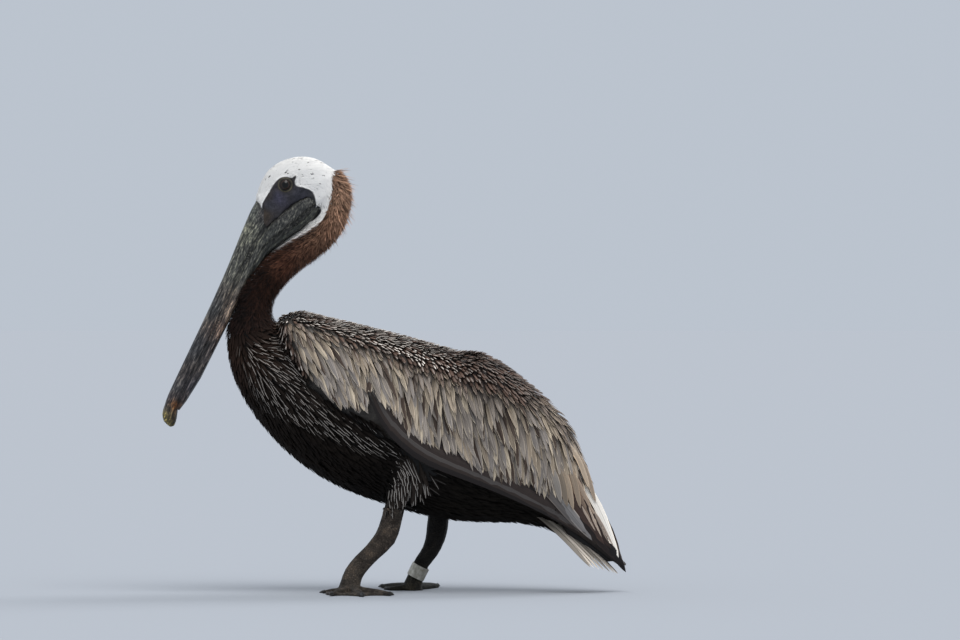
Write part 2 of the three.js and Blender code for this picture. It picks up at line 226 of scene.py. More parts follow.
def sun(name, source, strength, spread, colour=(1, 1, 1)):
    """A soft distant light that shines from a direction."""
    bpy.ops.object.light_add(type="SUN", location=(0, 0, 3))
    made = bpy.context.active_object
    made.name = name
    made.data.energy = strength
    made.data.angle = math.radians(spread)
    made.data.color = colour
    made.rotation_euler = (-Vector(source)).to_track_quat("-Z", "Y").to_euler()


sun("key_light", (0.35, -0.75, 1.6), 1.8, 45, (1, 0.985, 0.96))
sun("rim_light", (0.9, 0.9, 1.1), 0.96, 30, (1, 0.99, 0.98))

# ---- The skin ----
# One closed skin over the head, neck, trunk, wings and thighs, which lies inside the bird's outline by the
# depth of its feathers. It is bare only on the face, and has the markings of the feathers over it.

wing_parts = ("shoulder", "forearm", "flight_feathers")
wings = [f"wing_{side}_{part}" for side in ("left", "right") for part in wing_parts]
flesh = ["head", "neck_upper", "neck_middle", "neck_lower", "trunk", "rump", "thigh_left", "thigh_right"]


def edited(piece, action):
    """Takes an action in edit mode, with all of a piece selected."""
    select_only(piece)
    bpy.ops.object.mode_set(mode="EDIT")
    bpy.ops.mesh.select_all(action="SELECT")
    action()
    bpy.ops.object.mode_set(mode="OBJECT")


def copy_of(nodes, name):
    """One new piece made of copies of CAD nodes, with their loose triangles merged."""
    copies = []
    for node in nodes:
        copied = bpy.data.objects.new(name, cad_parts[node].data.copy())
        bpy.context.collection.objects.link(copied)
        copies.append(copied)
    select_only(*copies)
    if len(copies) > 1:
        bpy.ops.object.join()
    piece = bpy.context.active_object
    piece.data.materials.clear()
    edited(piece, lambda: bpy.ops.mesh.remove_doubles(threshold=1e-6))
    return piece


def swell(piece, distance):
    edited(piece, lambda: bpy.ops.transform.shrink_fatten(value=distance))


def remesh(piece, voxel, smoothing):
    """Rebuilds a piece as even cells, and smooths it."""
    cells = piece.modifiers.new("cells", "REMESH")
    cells.mode = "VOXEL"
    cells.voxel_size = voxel
    soft = piece.modifiers.new("soft", "SMOOTH")
    soft.factor = 0.5
    soft.iterations = smoothing
    select_only(piece)
    for modifier in ("cells", "soft"):
        bpy.ops.object.modifier_apply(modifier=modifier)


def rows_of(items, field, wide=3, kind=float):
    """A field of the items of a mesh, with a row for each item."""
    flat = np.empty(len(items) * wide, kind)
    items.foreach_get(field, flat)
    return flat.reshape(-1, wide)


def points_of(piece):
    return rows_of(piece.data.vertices, "co")


def outs_of(piece):
    return rows_of(piece.data.vertices, "normal")


def set_points(piece, points):
    piece.data.vertices.foreach_set("co", points.ravel())
    piece.data.update()


def set_values(piece, name, values, kind="FLOAT"):
    field = {"FLOAT": "value", "FLOAT_VECTOR": "vector", "FLOAT_COLOR": "color"}[kind]
    values = np.asarray(values, float).ravel()
    piece.data.attributes.new(name, kind, "POINT").data.foreach_set(field, values)


def set_tint(piece, colour):
    set_values(piece, "tint", np.c_[colour, np.ones(len(colour))], "FLOAT_COLOR")


def line_distance(points, line):
    """Distance in side view from points in metres to a line of places in millimetres."""
    p = points[:, [0, 2]]
    line = np.array(line) / 1000
    best = np.full(len(p), 1e3)
    for a, b in zip(line[:-1], line[1:]):
        edge = b - a
        share = np.clip(((p - a) @ edge) / (edge @ edge), 0, 1)
        best = np.minimum(best, np.linalg.norm(p - a - share[:, None] * edge, axis=1))
    return best


def outline_distance(points, outline):
    """Distance in side view to a closed outline, in metres, negative inside it."""
    p = points[:, [0, 2]]
    inside = np.zeros(len(p), bool)
    corners = np.array(outline) / 1000
    for a, b in zip(corners, np.roll(corners, -1, axis=0)):
        crosses = (a[1] > p[:, 1]) != (b[1] > p[:, 1])
        with np.errstate(divide="ignore", invalid="ignore"):
            cut = a[0] + (p[:, 1] - a[1]) / (b[1] - a[1]) * (b - a)[0]
        inside ^= crosses & (p[:, 0] < cut)
    best = line_distance(points, [*outline, outline[0]])
    return np.where(inside, -best, best)


def rounded(outline):
    """A closed outline with its corners cut twice, so that it runs smoothly."""
    corners = np.array(outline, float)
    for _ in range(2):
        ahead = np.roll(corners, -1, axis=0)
        cut = [0.75 * corners + 0.25 * ahead, 0.25 * corners + 0.75 * ahead]
        corners = np.stack(cut, axis=1).reshape(-1, 2)
    return corners


def step(value, low, high):
    """0 below low, 1 above high, and smooth between."""
    t = np.clip((value - low) / (high - low), 0, 1)
    return t * t * (3 - 2 * t)


# Outlines in side view, in millimetres, as are all the tables of places below.
bare_face = rounded([
    (-181, 508), (-177, 497), (-173, 503), (-163, 520), (-155, 533), (-148, 538.5), (-140, 539.5),
    (-134, 537), (-129, 541), (-127, 540), (-130, 533), (-128, 527), (-117, 525), (-107, 521), (-103, 512),
    (-102, 502), (-96, 500), (-95, 494), (-101, 487), (-110, 480), (-137, 464.5), (-166, 447), (-200, 430),
    (-200, 470),
])
white_head = rounded([
    (-72, 565), (-82, 549), (-82, 523), (-86, 501), (-93, 486), (-107, 471), (-130, 457), (-148, 446),
    (-163, 438), (-200, 425), (-215, 600), (-72, 600),
])

skin = copy_of(flesh + wings, "skin")
swell(skin, 0.0005)
remesh(skin, 0.0027, 8)


def surface_tree(nodes):
    """The surfaces of CAD nodes, to find the nearest place on them."""
    vertices, polygons = [], []
    for node in nodes:
        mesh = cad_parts[node].data
        start = len(vertices)
        vertices.extend(v.co.copy() for v in mesh.vertices)
        polygons.extend([start + i for i in p.vertices] for p in mesh.polygons)
    return BVHTree.FromPolygons(vertices, polygons)


def tract_of(points):
    """The number of the tract whose solid is nearest: 0 head, 1 neck, 2 body, 3 thigh, 4 wing, 5 flight."""
    flights = [wing for wing in wings if "flight" in wing]
    necks = [node for node in flesh if "neck" in node]
    thighs = [node for node in flesh if "thigh" in node]
    others = [wing for wing in wings if wing not in flights]
    gaps = []
    for nodes in (["head"], necks, ["trunk", "rump"], thighs, others, flights):
        tree = surface_tree(nodes)
        gaps.append([tree.find_nearest(Vector(p))[3] for p in points])
    return np.argmin(gaps, axis=0)


def refine(piece, chosen, cuts):
    """Cuts the chosen faces of a piece finer."""
    select_only(piece)
    bpy.ops.object.mode_set(mode="EDIT")
    bpy.ops.mesh.select_all(action="DESELECT")
    bpy.ops.mesh.select_mode(type="FACE")
    bpy.ops.object.mode_set(mode="OBJECT")
    piece.data.polygons.foreach_set("select", chosen)
    bpy.ops.object.mode_set(mode="EDIT")
    bpy.ops.mesh.subdivide(number_cuts=cuts)
    bpy.ops.object.mode_set(mode="OBJECT")


middles = rows_of(skin.data.polygons, "center")
by_face = outline_distance(middles, bare_face) < 0.004
refine(skin, by_face & (middles[:, 0] < -0.09) & (middles[:, 2] > 0.44), 3)

outline_points = points_of(skin)
outline_outs = outs_of(skin)
tracts = tract_of(outline_points)
on_head, on_neck, on_body, on_thigh, on_wing, on_flight = ((tracts == i) for i in range(6))
to_face = outline_distance(outline_points, bare_face)
to_white = outline_distance(outline_points, white_head)
high = outline_points[:, 2] > 0.375
whiteness = step(-to_white, -0.0012, 0.0012) * high
bareness = step(-to_face, -0.0006, 0.0006) * high * (outline_points[:, 0] < -0.09)
short_coat = 0.0022
coat_depth = np.choose(tracts, [short_coat, 0.005, 0.0055, 0.004, 0.006, 0.006])
throat_side = step(-outline_outs[:, 0], 0.1, 0.5) * on_neck
thin = np.maximum(step(-to_white, -0.006, 0.004), throat_side) * high
coat_depth = coat_depth * (1 - thin) + short_coat * thin
coat_depth = coat_depth * (1 - step(-to_face, -0.004, 0.001) * high)

eye_names = ("eye_left", "eye_right")
eye_places = {name: Vector([sum(pair) / 2 for pair in zip(*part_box(name))]) for name in eye_names}
eye_radius = 0.0086
lid_opening = 0.0066
lid_rim = 0.0072
lid_end = 0.0080
lid_reach = 0.0125
lid_width = 1.08  # of the opening, as a multiple of its height
shaped = outline_points - outline_outs * coat_depth[:, None]
for i in np.flatnonzero(bareness > 0):
    p = Vector(shaped[i])
    grain = noise.noise(p * 260) + 0.6 * noise.noise(p * 620)
    fold = abs(noise.noise(Vector((p.x * 90 + p.z * 60, p.y * 40, p.z * 160 - p.x * 120))))
    shaped[i] += outline_outs[i] * bareness[i] * (0.00018 * grain - 0.0007 * fold)
for place in eye_places.values():
    side = math.copysign(1, place.y)
    away = np.hypot(outline_points[:, 0] - place.x, (outline_points[:, 2] - place.z) * lid_width)
    here = (away < lid_reach) & (outline_points[:, 1] * side > 0.006)
    ball = abs(place.y) + np.sqrt(np.maximum(eye_radius**2 - away**2, 0))
    own = shaped[:, 1] * side
    roll = 0.0007 * np.sin(np.clip((away - lid_opening) / 0.002, 0, 1) * math.pi)
    lid = np.where(away < lid_opening, ball - 0.0016, ball + 0.0004 + roll)
    rim = abs(place.y) + math.sqrt(eye_radius**2 - lid_rim**2) + 0.0002
    lid = np.where(away > lid_end, rim + 0.0001, lid)
    share = 1 - step(away, 0.0084, 0.0122)
    crease = 0.0006 * np.exp(-(((away - 0.0100) / 0.0006) ** 2))
    shaped[here, 1] = (side * (own * (1 - share) + lid * share - crease))[here]
set_points(skin, shaped)


def linear(colour):
    """Linear light from a colour written 0 to 255."""
    c = np.asarray(colour, float) / 255
    return np.where(c > 0.04045, ((c + 0.055) / 1.055) ** 2.4, c / 12.92)


def blended(points, table):
    """Values for every point, blended from a table of places in side view, each with its values."""
    table = np.array(table, float)
    places, values = table[:, :2] / 1000, table[:, 2:]
    gaps = np.linalg.norm(points[:, None, [0, 2]] - places[None], axis=2)
    weights = 1 / (gaps**3 + 1e-7)
    return weights @ values / weights.sum(axis=1, keepdims=True)


neck_colours = [
    (-62, 520, 156, 125, 104), (-62, 490, 150, 118, 97), (-90, 470, 126, 96, 78), (-110, 430, 98, 70, 56),
    (-140, 425, 80, 52, 40), (-170, 405, 36, 21, 15), (-160, 370, 46, 29, 22), (-205, 375, 25, 14, 11),
    (-190, 345, 30, 18, 14),
]
body_colours = [
    (-214, 330, 50, 38, 32), (-200, 340, 36, 27, 23), (-170, 250, 30, 25, 22), (-100, 190, 24, 20, 17),
    (-20, 140, 20, 17, 15), (100, 110, 23, 20, 17), (200, 90, 24, 21, 18), (-100, 300, 38, 33, 30),
]
face_colours = [
    (-142, 529, 42, 39, 37), (-152, 512, 56, 55, 72), (-162, 502, 50, 50, 58), (-169, 490, 64, 54, 45),
    (-122, 516, 47, 47, 56), (-150, 480, 44, 43, 46), (-105, 510, 44, 44, 47), (-165, 515, 50, 45, 44),
]
wing_colours = [
    (-140, 355, 112, 106, 100), (-100, 330, 140, 134, 128), (-40, 330, 122, 114, 107),
    (-60, 270, 142, 134, 126), (40, 300, 96, 86, 79), (30, 240, 134, 124, 113), (120, 290, 84, 73, 69),
    (100, 220, 132, 121, 110), (180, 230, 118, 107, 97), (210, 150, 134, 123, 113), (260, 90, 110, 101, 94),
]


def plumage(points, kinds, white):
    """The colour of the plumage at points of the outline, in linear light."""
    tables = (neck_colours, body_colours, wing_colours)
    neck, body, wing = (linear(blended(points, table)) for table in tables)
    choice = np.where((kinds <= 1)[:, None], neck, np.where((kinds >= 4)[:, None], wing, body))
    return choice * (1 - white[:, None]) + linear((226, 225, 223)) * white[:, None]


# Where the skin shows between the feathers it is painted darker than the plumage, least under the white and
# most under the flight feathers: painted shade in the gaps of the coat.
under = np.where(whiteness > 0.5, 0.8, np.where(on_flight, 0.12, 0.4))
skin_colour = plumage(outline_points, tracts, whiteness) * under[:, None]
face_colour = linear(blended(outline_points, face_colours))
skin_colour = skin_colour * (1 - bareness[:, None]) + face_colour * bareness[:, None]
for place in eye_places.values():
    away = np.hypot(outline_points[:, 0] - place.x, outline_points[:, 2] - place.z)
    ring = np.exp(-(((away - 0.0087) / 0.0007) ** 2)) * (outline_points[:, 1] * place.y > 0)
    ring *= 0.45 + 0.4 * step(place.z - outline_points[:, 2], -0.004, 0.006)
    skin_colour = skin_colour * (1 - ring[:, None]) + linear((104, 97, 74)) * ring[:, None]
set_tint(skin, skin_colour)
edited(skin, lambda: bpy.ops.uv.smart_project(angle_limit=math.radians(70), island_margin=0.004))
skin.data.uv_layers.active.name = "OFBake"

skin_material, tree, shader = material("feathered_skin", roughness=0.62, specular=0.3)
where = own_place(tree)
wide = speckle(tree, where, 130.0, 5.0, 0.65)
fine = Signal(tree, wire(tree, "ShaderNodeTexVoronoi", {"Scale": 900.0}, Vector=where).outputs["Distance"])
colour = times(tree, held(tree, "tint", "Color"), ramp(tree, wide, [(0.32, 0.6), (0.5, 1.0), (0.68, 1.55)]))
colour = times(tree, colour, ramp(tree, fine, [(0.0, 1.35), (0.6, 0.75)]))
surface(tree, shader, colour, wide - fine * 0.4, 0.55, 0.0008)
skin.data.materials.append(skin_material)
bpy.ops.object.shade_smooth()

# ---- Feather makers ----
# A feather is a run of rings along a spine that follows the outline, from its root on the skin up to its tip
# at the outline. The lie of the coat comes from a few directions in side view, blended between their places.

rng = np.random.default_rng(11)
bake_patch = 0.003  # the width of a feather on the skin's unwrap
tries_per_root = 4
least_gap = 0.86  # between two roots, as a share of their spacing
skin.data.calc_loop_triangles()
corners = rows_of(skin.data.loop_triangles, "vertices", kind=int)
corner_loops = rows_of(skin.data.loop_triangles, "loops", kind=int)
unwrap = rows_of(skin.data.uv_layers["OFBake"].data, "uv", 2)
outline = BVHTree.FromPolygons([tuple(p) for p in outline_points], corners.tolist())


def unit(vectors):
    return vectors / np.maximum(np.linalg.norm(vectors, axis=-1, keepdims=True), 1e-9)


class Roots:
    """Places on the outline where feathers start, with what the skin holds there."""

    def __init__(self, triangle, share):
        at = corners[triangle]
        self.point = (outline_points[at] * share[..., None]).sum(axis=1)
        self.out = unit((outline_outs[at] * share[..., None]).sum(axis=1))
        self.depth = (coat_depth[at] * share).sum(axis=1)
        self.white = (whiteness[at] * share).sum(axis=1)
        self.uv = (unwrap[corner_loops[triangle]] * share[..., None]).sum(axis=1)
        self.kind = tracts[at[:, 0]]
        self.chance = rng.random(len(triangle))

    def keep(self, mask):
        for key, value in vars(self).items():
            setattr(self, key, value[mask])
        return self

    def __len__(self):
        return len(self.point)


def scatter(spacing, along=(0.0, 0.0, 1.0), stretch=1.0):
    """Roots spread evenly over the skin. spacing is a distance per vertex, and 0 where nothing grows. Roots
    are stretch times as far apart in the direction along."""
    gap = spacing[corners].mean(axis=1) * (spacing[corners] > 0).all(axis=1)
    a, b, c = (outline_points[corners[:, i]] for i in range(3))
    area = np.linalg.norm(np.cross(b - a, c - a), axis=1) / 2
    weight = np.where(gap > 0, area / (stretch * np.maximum(gap, 1e-6) ** 2), 0)
    count = int(weight.sum() * tries_per_root)
    triangle = rng.choice(len(corners), count, p=weight / weight.sum())
    share = rng.dirichlet((1, 1, 1), count)
    found = Roots(triangle, share)
    along = unit(np.array(along))
    packed = found.point - (found.point @ along * (1 - 1 / stretch))[:, None] * along
    near = KDTree(count)
    for i, p in enumerate(packed):
        near.insert(p, i)
    near.balance()
    kept = np.ones(count, bool)
    gaps = gap[triangle]
    for i in range(count):
        if kept[i]:
            for _, j, _ in near.find_range(packed[i], gaps[i] * least_gap):
                if j > i:
                    kept[j] = False
    return found.keep(kept)


def lay(roots, lie, length, stations, rise=(0.0, 0.9), drop=0.25, wander=0.12, extra=0.0):
    """Spines from each root along the outline, with the way out at each station."""
    count = len(roots)
    here, out = roots.point.copy(), roots.out.copy()
    lie = lie + rng.normal(0, wander, (count, 3))
    lie = unit(lie - out * (lie * out).sum(axis=1)[:, None])
    pace = (length / (stations - 1))[:, None]
    spine = np.empty((count, stations, 3))
    outs = np.empty((count, stations, 3))
    for k in range(stations):
        t = k / (stations - 1)
        height = roots.depth * (rise[0] + (rise[1] - rise[0]) * t - 1) + extra * t
        spine[:, k] = here + out * height[:, None]
        outs[:, k] = out
        if k == stations - 1:
            break
        ahead = here + lie * pace
        reached = ahead.copy()
        ways = out.copy()
        for i in range(count):
            place, way, _, _ = outline.find_nearest(Vector(ahead[i]))
            reached[i] = place
            ways[i] = way
        gap = ((ahead - reached) * ways).sum(axis=1)
        there = reached + ways * np.maximum(0, gap - drop * pace[:, 0])[:, None]
        over = (ways * out).sum(axis=1) < 0.5
        there[over], ways[over] = ahead[over], out[over]
        lie = unit(there - here)
        out = unit(ways * 0.6 + out * 0.4)
        out = unit(out - lie * (lie * out).sum(axis=1)[:, None])
        here = there
    return spine, outs


# The outline of a feather cut across, by its number of sides, from one edge to the other and up.
SECTIONS = {
    3: [(-1, 0), (0, 1), (1, 0)],
    4: [(-1, 0), (0, 1), (1, 0), (0, -0.5)],
    6: [(-1, 0), (-0.5, 0.75), (0, 1), (0.5, 0.75), (1, 0), (0, -0.4)],
}
# Shapes of feathers seen from above: places along the spine, and the share of the full width at each.
BLADES = {
    "tuft": ([0, 0.45, 1], [0, 1, 0]),
    "hair": ([0, 0.35, 0.75, 1], [0, 1, 0.6, 0]),
    "leaf": ([0, 0.2, 0.5, 0.8, 0.93, 1], [0, 0.6, 0.98, 0.9, 0.55, 0]),
    "lance": ([0, 0.12, 0.3, 0.48, 0.64, 0.78, 0.9, 1], [0, 0.5, 0.85, 1, 0.93, 0.68, 0.34, 0]),
    "plume": (
        [0, 0.08, 0.2, 0.34, 0.48, 0.6, 0.7, 0.79, 0.87, 0.94, 1],
        [0, 0.45, 0.8, 0.95, 1, 1, 0.95, 0.85, 0.66, 0.4, 0],
    ),
    "quill": (
        [0, 0.02, 0.05, 0.09, 0.14, 0.19, 0.24, 0.29, 0.34, 0.40, 0.46, 0.52, 0.58, 0.64, 0.70, 0.76, 0.82,
         0.87, 0.91, 0.95, 0.98, 1],
        [0, 0.25, 0.5, 0.72, 0.86, 0.94, *[1] * 10, 0.97, 0.9, 0.78, 0.58, 0.34, 0],
    ),
}


def piece_of(name, points, faces, made_of):
    mesh = bpy.data.meshes.new(name)
    mesh.vertices.add(len(points))
    mesh.vertices.foreach_set("co", points.ravel())
    mesh.loops.add(faces.size)
    mesh.loops.foreach_set("vertex_index", faces.ravel())
    mesh.polygons.add(len(faces))
    mesh.polygons.foreach_set("loop_start", np.arange(0, faces.size, 3))
    mesh.update(calc_edges=True)
    piece = bpy.data.objects.new(name, mesh)
    bpy.context.collection.objects.link(piece)
    mesh.materials.append(made_of)
    return piece


def feathers(name, roots, spine, outs, width, blade, made_of, tint, sides=4, camber=0.25, thick=0.12,
             jag=0.0, streak=None, twist=0.0):
    """One joined piece of feathers on their spines. camber bends their edges down and thick raises their
    middles, both by shares of half the width; jag makes the edges ragged and twist turns whole feathers."""
    places, widths = (np.array(v) for v in BLADES[blade])
    count, stations = spine.shape[:2]
    marks = np.linspace(0, 1, stations)
    spot = np.clip(np.searchsorted(marks, places, side="right") - 1, 0, stations - 2)
    share = ((places - marks[spot]) * (stations - 1))[None, :, None]
    line = spine[:, spot] * (1 - share) + spine[:, spot + 1] * share
    way = unit(outs[:, spot] * (1 - share) + outs[:, spot + 1] * share)
    along = unit(np.gradient(line, axis=1))
    side = unit(np.cross(along, way))
    if twist:
        turn = rng.normal(0, twist, (count, 1, 1))
        c, s = np.cos(turn), np.sin(turn)
        side, way = side * c + way * s, way * c - side * s
    section = np.array(SECTIONS[sides])
    rings = len(places) - 2
    half = (width[:, None] / 2 * widths[None, 1:-1])[:, :, None]
    across = np.tile(section[:, 0], (count, rings, 1))
    if jag:
        across = across * (1 + rng.uniform(-jag, jag, across.shape) * (places[1:-1] ** 2)[None, :, None])
    lift = section[None, None, :, 1] * thick * half - camber * half * across**2
    body = (line[:, 1:-1, None, :] + side[:, 1:-1, None, :] * (across * half)[..., None]
            + way[:, 1:-1, None, :] * lift[..., None])
    points = np.concatenate([line[:, :1], body.reshape(count, -1, 3), line[:, -1:]], axis=1)
    each = points.shape[1]
    ring = np.arange(sides)
    after = np.roll(ring, -1)
    faces = [np.c_[np.zeros(sides, int), 1 + after, 1 + ring]]
    last = 1 + (rings - 1) * sides
    for here in range(1, last, sides):
        there = here + sides
        faces.append(np.c_[here + ring, here + after, there + after])
        faces.append(np.c_[here + ring, there + after, there + ring])
    faces.append(np.c_[last + ring, last + after, np.full(sides, each - 1)])
    pattern = np.concatenate(faces)
    faces = (pattern[None] + (np.arange(count) * each)[:, None, None]).reshape(-1, 3)
    piece = piece_of(name, points.reshape(-1, 3), faces, made_of)

    u = np.concatenate([[0.5], np.tile((section[:, 0] + 1) / 2, rings), [0.5]])
    v = np.concatenate([[0], np.repeat(places[1:-1], sides), [1]])
    vane = np.c_[u, v][pattern.ravel()]
    own = piece.data.uv_layers.new(name="vane")
    own.data.foreach_set("uv", np.tile(vane, (count, 1)).ravel())
    baked = piece.data.uv_layers.new(name="OFBake")
    spread = (vane[None] - 0.5) * bake_patch + roots.uv[:, None, :]
    baked.data.foreach_set("uv", spread.ravel())
    set_tint(piece, np.repeat(tint, each, axis=0))
    set_values(piece, "chance", np.repeat(roots.chance, each))
    set_values(piece, "streak", np.repeat(np.zeros(count) if streak is None else streak, each))
    select_only(piece)
    bpy.ops.object.shade_smooth_by_angle(angle=math.radians(60))
    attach(piece, "root")
    print(name, count, "feathers", len(faces), "triangles")
    return piece


def parted(tree, vector):
    """The three numbers of a vector."""
    return [Signal(tree, socket) for socket in wire(tree, "ShaderNodeSeparateXYZ", _0=vector).outputs]


def vane_group():
    """The pattern of one vane: a shaft, edges, fibres along it and barbs across it, darker at the root."""
    group = bpy.data.node_groups.new("vane_pattern", "ShaderNodeTree")
    numbers = ["Chance", "Shaft Width", "Edge Width", "Root Shade", "Barbs", "Fibres", "Tip Shade"]
    for kind, names in {"Vector": ["Vane"], "Color": ["Tint", "Shaft", "Edge"], "Float": numbers}.items():
        for name in names:
            group.interface.new_socket(name, in_out="INPUT", socket_type=f"NodeSocket{kind}")
    for name, kind in (("Color", "Color"), ("Height", "Float")):
        group.interface.new_socket(name, in_out="OUTPUT", socket_type=f"NodeSocket{kind}")
    given = {socket.name: Signal(group, socket) for socket in group.nodes.new("NodeGroupInput").outputs}
    put = group.nodes.new("NodeGroupOutput").inputs
    across, down, _ = parted(group, given["Vane"])
    off = abs((across - 0.5) * 2)
    phase = given["Chance"] * 37
    spot = wire(group, "ShaderNodeCombineXYZ", _0=across * 9, _1=down * 1.6, _2=phase)
    fibre = (speckle(group, spot.outputs[0], 1.0, 3.0, 0.6) - 0.5) * given["Fibres"]
    edge_width = given["Edge Width"]
    beyond = off + fibre * 0.5 - (1 - edge_width)
    edge = (beyond / (edge_width + 0.001)).clamped()
    shaft = 1 - (off / (given["Shaft Width"] + 0.0001)).clamped()
    slanted = (down * 1.6 - off) * 60 + phase
    barbs = slanted.joined("SINE", slanted)
    root = 1 - (1 - down) ** 1.4 * given["Root Shade"]
    tip = 1 - down**6 * given["Tip Shade"]
    shade = (barbs * given["Barbs"] + (fibre + 1)) * root * tip
    colour = mixed(group, edge, given["Tint"], given["Edge"])
    colour = mixed(group, shaft, colour, given["Shaft"])
    feed(group, put["Color"], times(group, colour, shade))
    feed(group, put["Height"], barbs * 0.3 + (fibre + shaft))
    return group


vanes = vane_group()


def plume_material(name, shaft, edge, streak=None, border=None, spread=0.5, sheen=0.0, roughness=0.6,
                   specular=0.25, **pattern):
    """A feather material. shaft and edge are each a multiple of the tint and a width; streak is a colour, a
    half width and a start; border is a colour that the edge of a feather turns to where it has no streak;
    spread is how much feathers differ in brightness; pattern has further values of the vane's pattern."""
    made, tree, shader = material(name, roughness=roughness, specular=specular)
    shader.inputs["Sheen Weight"].default_value = sheen
    shader.inputs["Sheen Roughness"].default_value = 0.5
    vane = wire(tree, "ShaderNodeUVMap", {"uv_map": "vane"}).outputs[0]
    chance = held(tree, "chance")
    tint = times(tree, held(tree, "tint", "Color"), chance * spread + (1 - spread / 2))
    weight = held(tree, "streak")
    if streak:
        colour, half, start = streak
        across, down, _ = parted(tree, vane)
        inside = (1 - (abs(across - 0.5) / half).clamped()) ** 0.7
        begun = ((down - start) / 0.22).clamped()
        tint = mixed(tree, (inside * weight * begun).clamped(), tint, (*linear(colour), 1))
    edging = times(tree, tint, (*edge[0], 1))
    if border:
        edging = mixed(tree, (1 - weight).clamped() * 0.75, edging, (*linear(border), 1))
    used = wire(tree, "ShaderNodeGroup", {"node_tree": vanes})
    given = {"Vane": vane, "Tint": tint, "Chance": chance, "Edge": edging, "Edge Width": edge[1],
             "Shaft": times(tree, tint, (*shaft[0], 1)), "Shaft Width": shaft[1]}
    given.update((key.replace("_", " ").title(), value) for key, value in pattern.items())
    for key, value in given.items():
        feed(tree, used.inputs[key], value)
    surface(tree, shader, used.outputs["Color"], used.outputs["Height"], 0.3, 0.0004)
    return made


def flow(points, table, apart=0.0):
    """The lie of the coat, from directions in side view. It parts along the middle of the back."""
    lie = blended(points, table)
    return np.c_[lie[:, 0], apart * np.clip(points[:, 1] / 0.02, -1, 1), lie[:, 1]]


# ---- The head and neck ----
# Small white tufts over the head, brown plush down the neck, and a mane of hair-like feathers down the nape.

head_lie = [
    (-180, 515, 0.5, 0.85), (-165, 545, 0.8, 0.55), (-135, 567, 1, 0.1), (-100, 563, 1, -0.25),
    (-78, 545, 0.6, -0.8), (-110, 535, 0.95, -0.3), (-90, 515, 0.35, -0.95), (-98, 490, -0.5, -0.85),
    (-130, 462, -0.8, -0.6), (-160, 545, 0.8, 0.5), (-150, 450, -0.8, -0.6),
]
neck_lie = [
    (-65, 545, 0.5, -0.85), (-58, 505, 0.1, -1), (-68, 470, -0.35, -0.95), (-95, 440, -0.7, -0.7),
    (-130, 415, -0.7, -0.7), (-158, 380, -0.3, -0.95), (-150, 440, -0.8, -0.6), (-190, 400, -0.6, -0.8),
    (-210, 360, -0.1, -1), (-165, 350, -0.05, -1), (-85, 500, -0.2, -0.98),
]

white_plume = plume_material(
    "white_plumage", shaft=((1, 1, 1), 0.1), edge=((1, 1, 1), 0.2), barbs=0.0, fibres=0.1,
    root_shade=0.06, roughness=0.8, spread=0.06, sheen=0.3,
)
brown_plume = plume_material(
    "brown_plumage", shaft=((0.9, 0.9, 0.9), 0.1), edge=((1.25, 1.15, 1.05), 0.5), barbs=0.0, fibres=0.4,
    root_shade=0.5, roughness=0.8, spread=1.0, sheen=0.06, specular=0.1,
)

on_top = on_head | on_neck
roots = scatter(np.where((whiteness > 0.3) & (bareness < 0.4) & on_top, 0.0014, 0))
roots.keep(outline_distance(roots.point, bare_face) > 0)
face_gap = outline_distance(roots.point, bare_face)
length = 0.0040 + 0.0035 * step(face_gap, 0, 0.02)
throat = [(-112, 476), (-122, 469), (-142, 456), (-164, 440), (-186, 410), (-198, 392)]


def under_jaw(roots):
    """How much a feather stands out to meet the pouch: 1 under the lower jaw, 0 away from it."""
    near = step(-line_distance(roots.point, throat), -0.014, -0.009)
    return near * step(roots.out @ np.array([-0.6, 0, 0.8]), 0.1, 0.6)


facing = under_jaw(roots)
length += 0.004 * facing
spine, outs = lay(roots, flow(roots.point, head_lie), length, 3, rise=(-0.05, 0.45), drop=0.5, wander=0.1,
                  extra=0.006 * facing)
tint = linear((240, 239, 237)) * np.ones((len(roots), 1))
specks = (roots.chance < 0.016) & (roots.point[:, 2] > 0.53) & (roots.point[:, 0] < -0.095)
tint[specks] = linear((74, 70, 70))
tuft_widths = np.where(specks, 0.0028, 0.0022)
feathers("coat_head", roots, spine, outs, tuft_widths, "tuft", white_plume, tint, sides=3, camber=0.3)

# A wedge of white points down between the face and the bill.
wedge = (outline_points[:, 0] < -0.164) & (bareness < 0.3) & on_head & (outline_points[:, 2] < 0.524)
roots = scatter(np.where(wedge, 0.0015, 0))
room = np.abs(roots.point[:, 0] + 0.174) / 0.006
length = 0.0105 - 0.0055 * np.clip(room, 0, 1)
downward = np.tile([-0.40, 0.0, -0.92], (len(roots), 1))
spine, outs = lay(roots, downward, length, 3, rise=(-0.05, 0.6), drop=0.0, wander=0.06)
tint = linear((238, 237, 235)) * np.ones((len(roots), 1))
feathers("coat_forehead", roots, spine, outs, np.full(len(roots), 0.0021), "tuft", white_plume, tint, sides=3,
         camber=0.3)

# Plush down the neck, longer and fuller towards the nape, and with a loose hem where it meets the breast.
roots = scatter(np.where((whiteness < 0.7) & on_top, 0.0013, 0))
rear = blended(roots.point, [
    (-55, 520, 1), (-60, 480, 1), (-90, 445, 0.7), (-85, 500, 0.1), (-110, 460, 0.1), (-140, 400, 0.3),
    (-170, 400, 0), (-200, 370, 0), (-160, 360, 0.1),
])[:, 0]
length = 0.0050 + 0.0030 * roots.chance + 0.003 * rear
away = roots.out * (0.25 + 0.5 * rear)[:, None]
facing = under_jaw(roots)
hem = step(-roots.point[:, 2], -0.366, -0.348)
length += (0.001 + 0.012 * roots.chance) * hem
spine, outs = lay(roots, flow(roots.point, neck_lie), length, 3, rise=(0.0, 1.0), drop=0.6,
                  wander=0.32 - 0.2 * hem[:, None], extra=0.006 * facing + 0.0012 * hem)
spine[:, 1:] += away[:, None] * np.array([0.0005, 0.0022])[None, :, None]
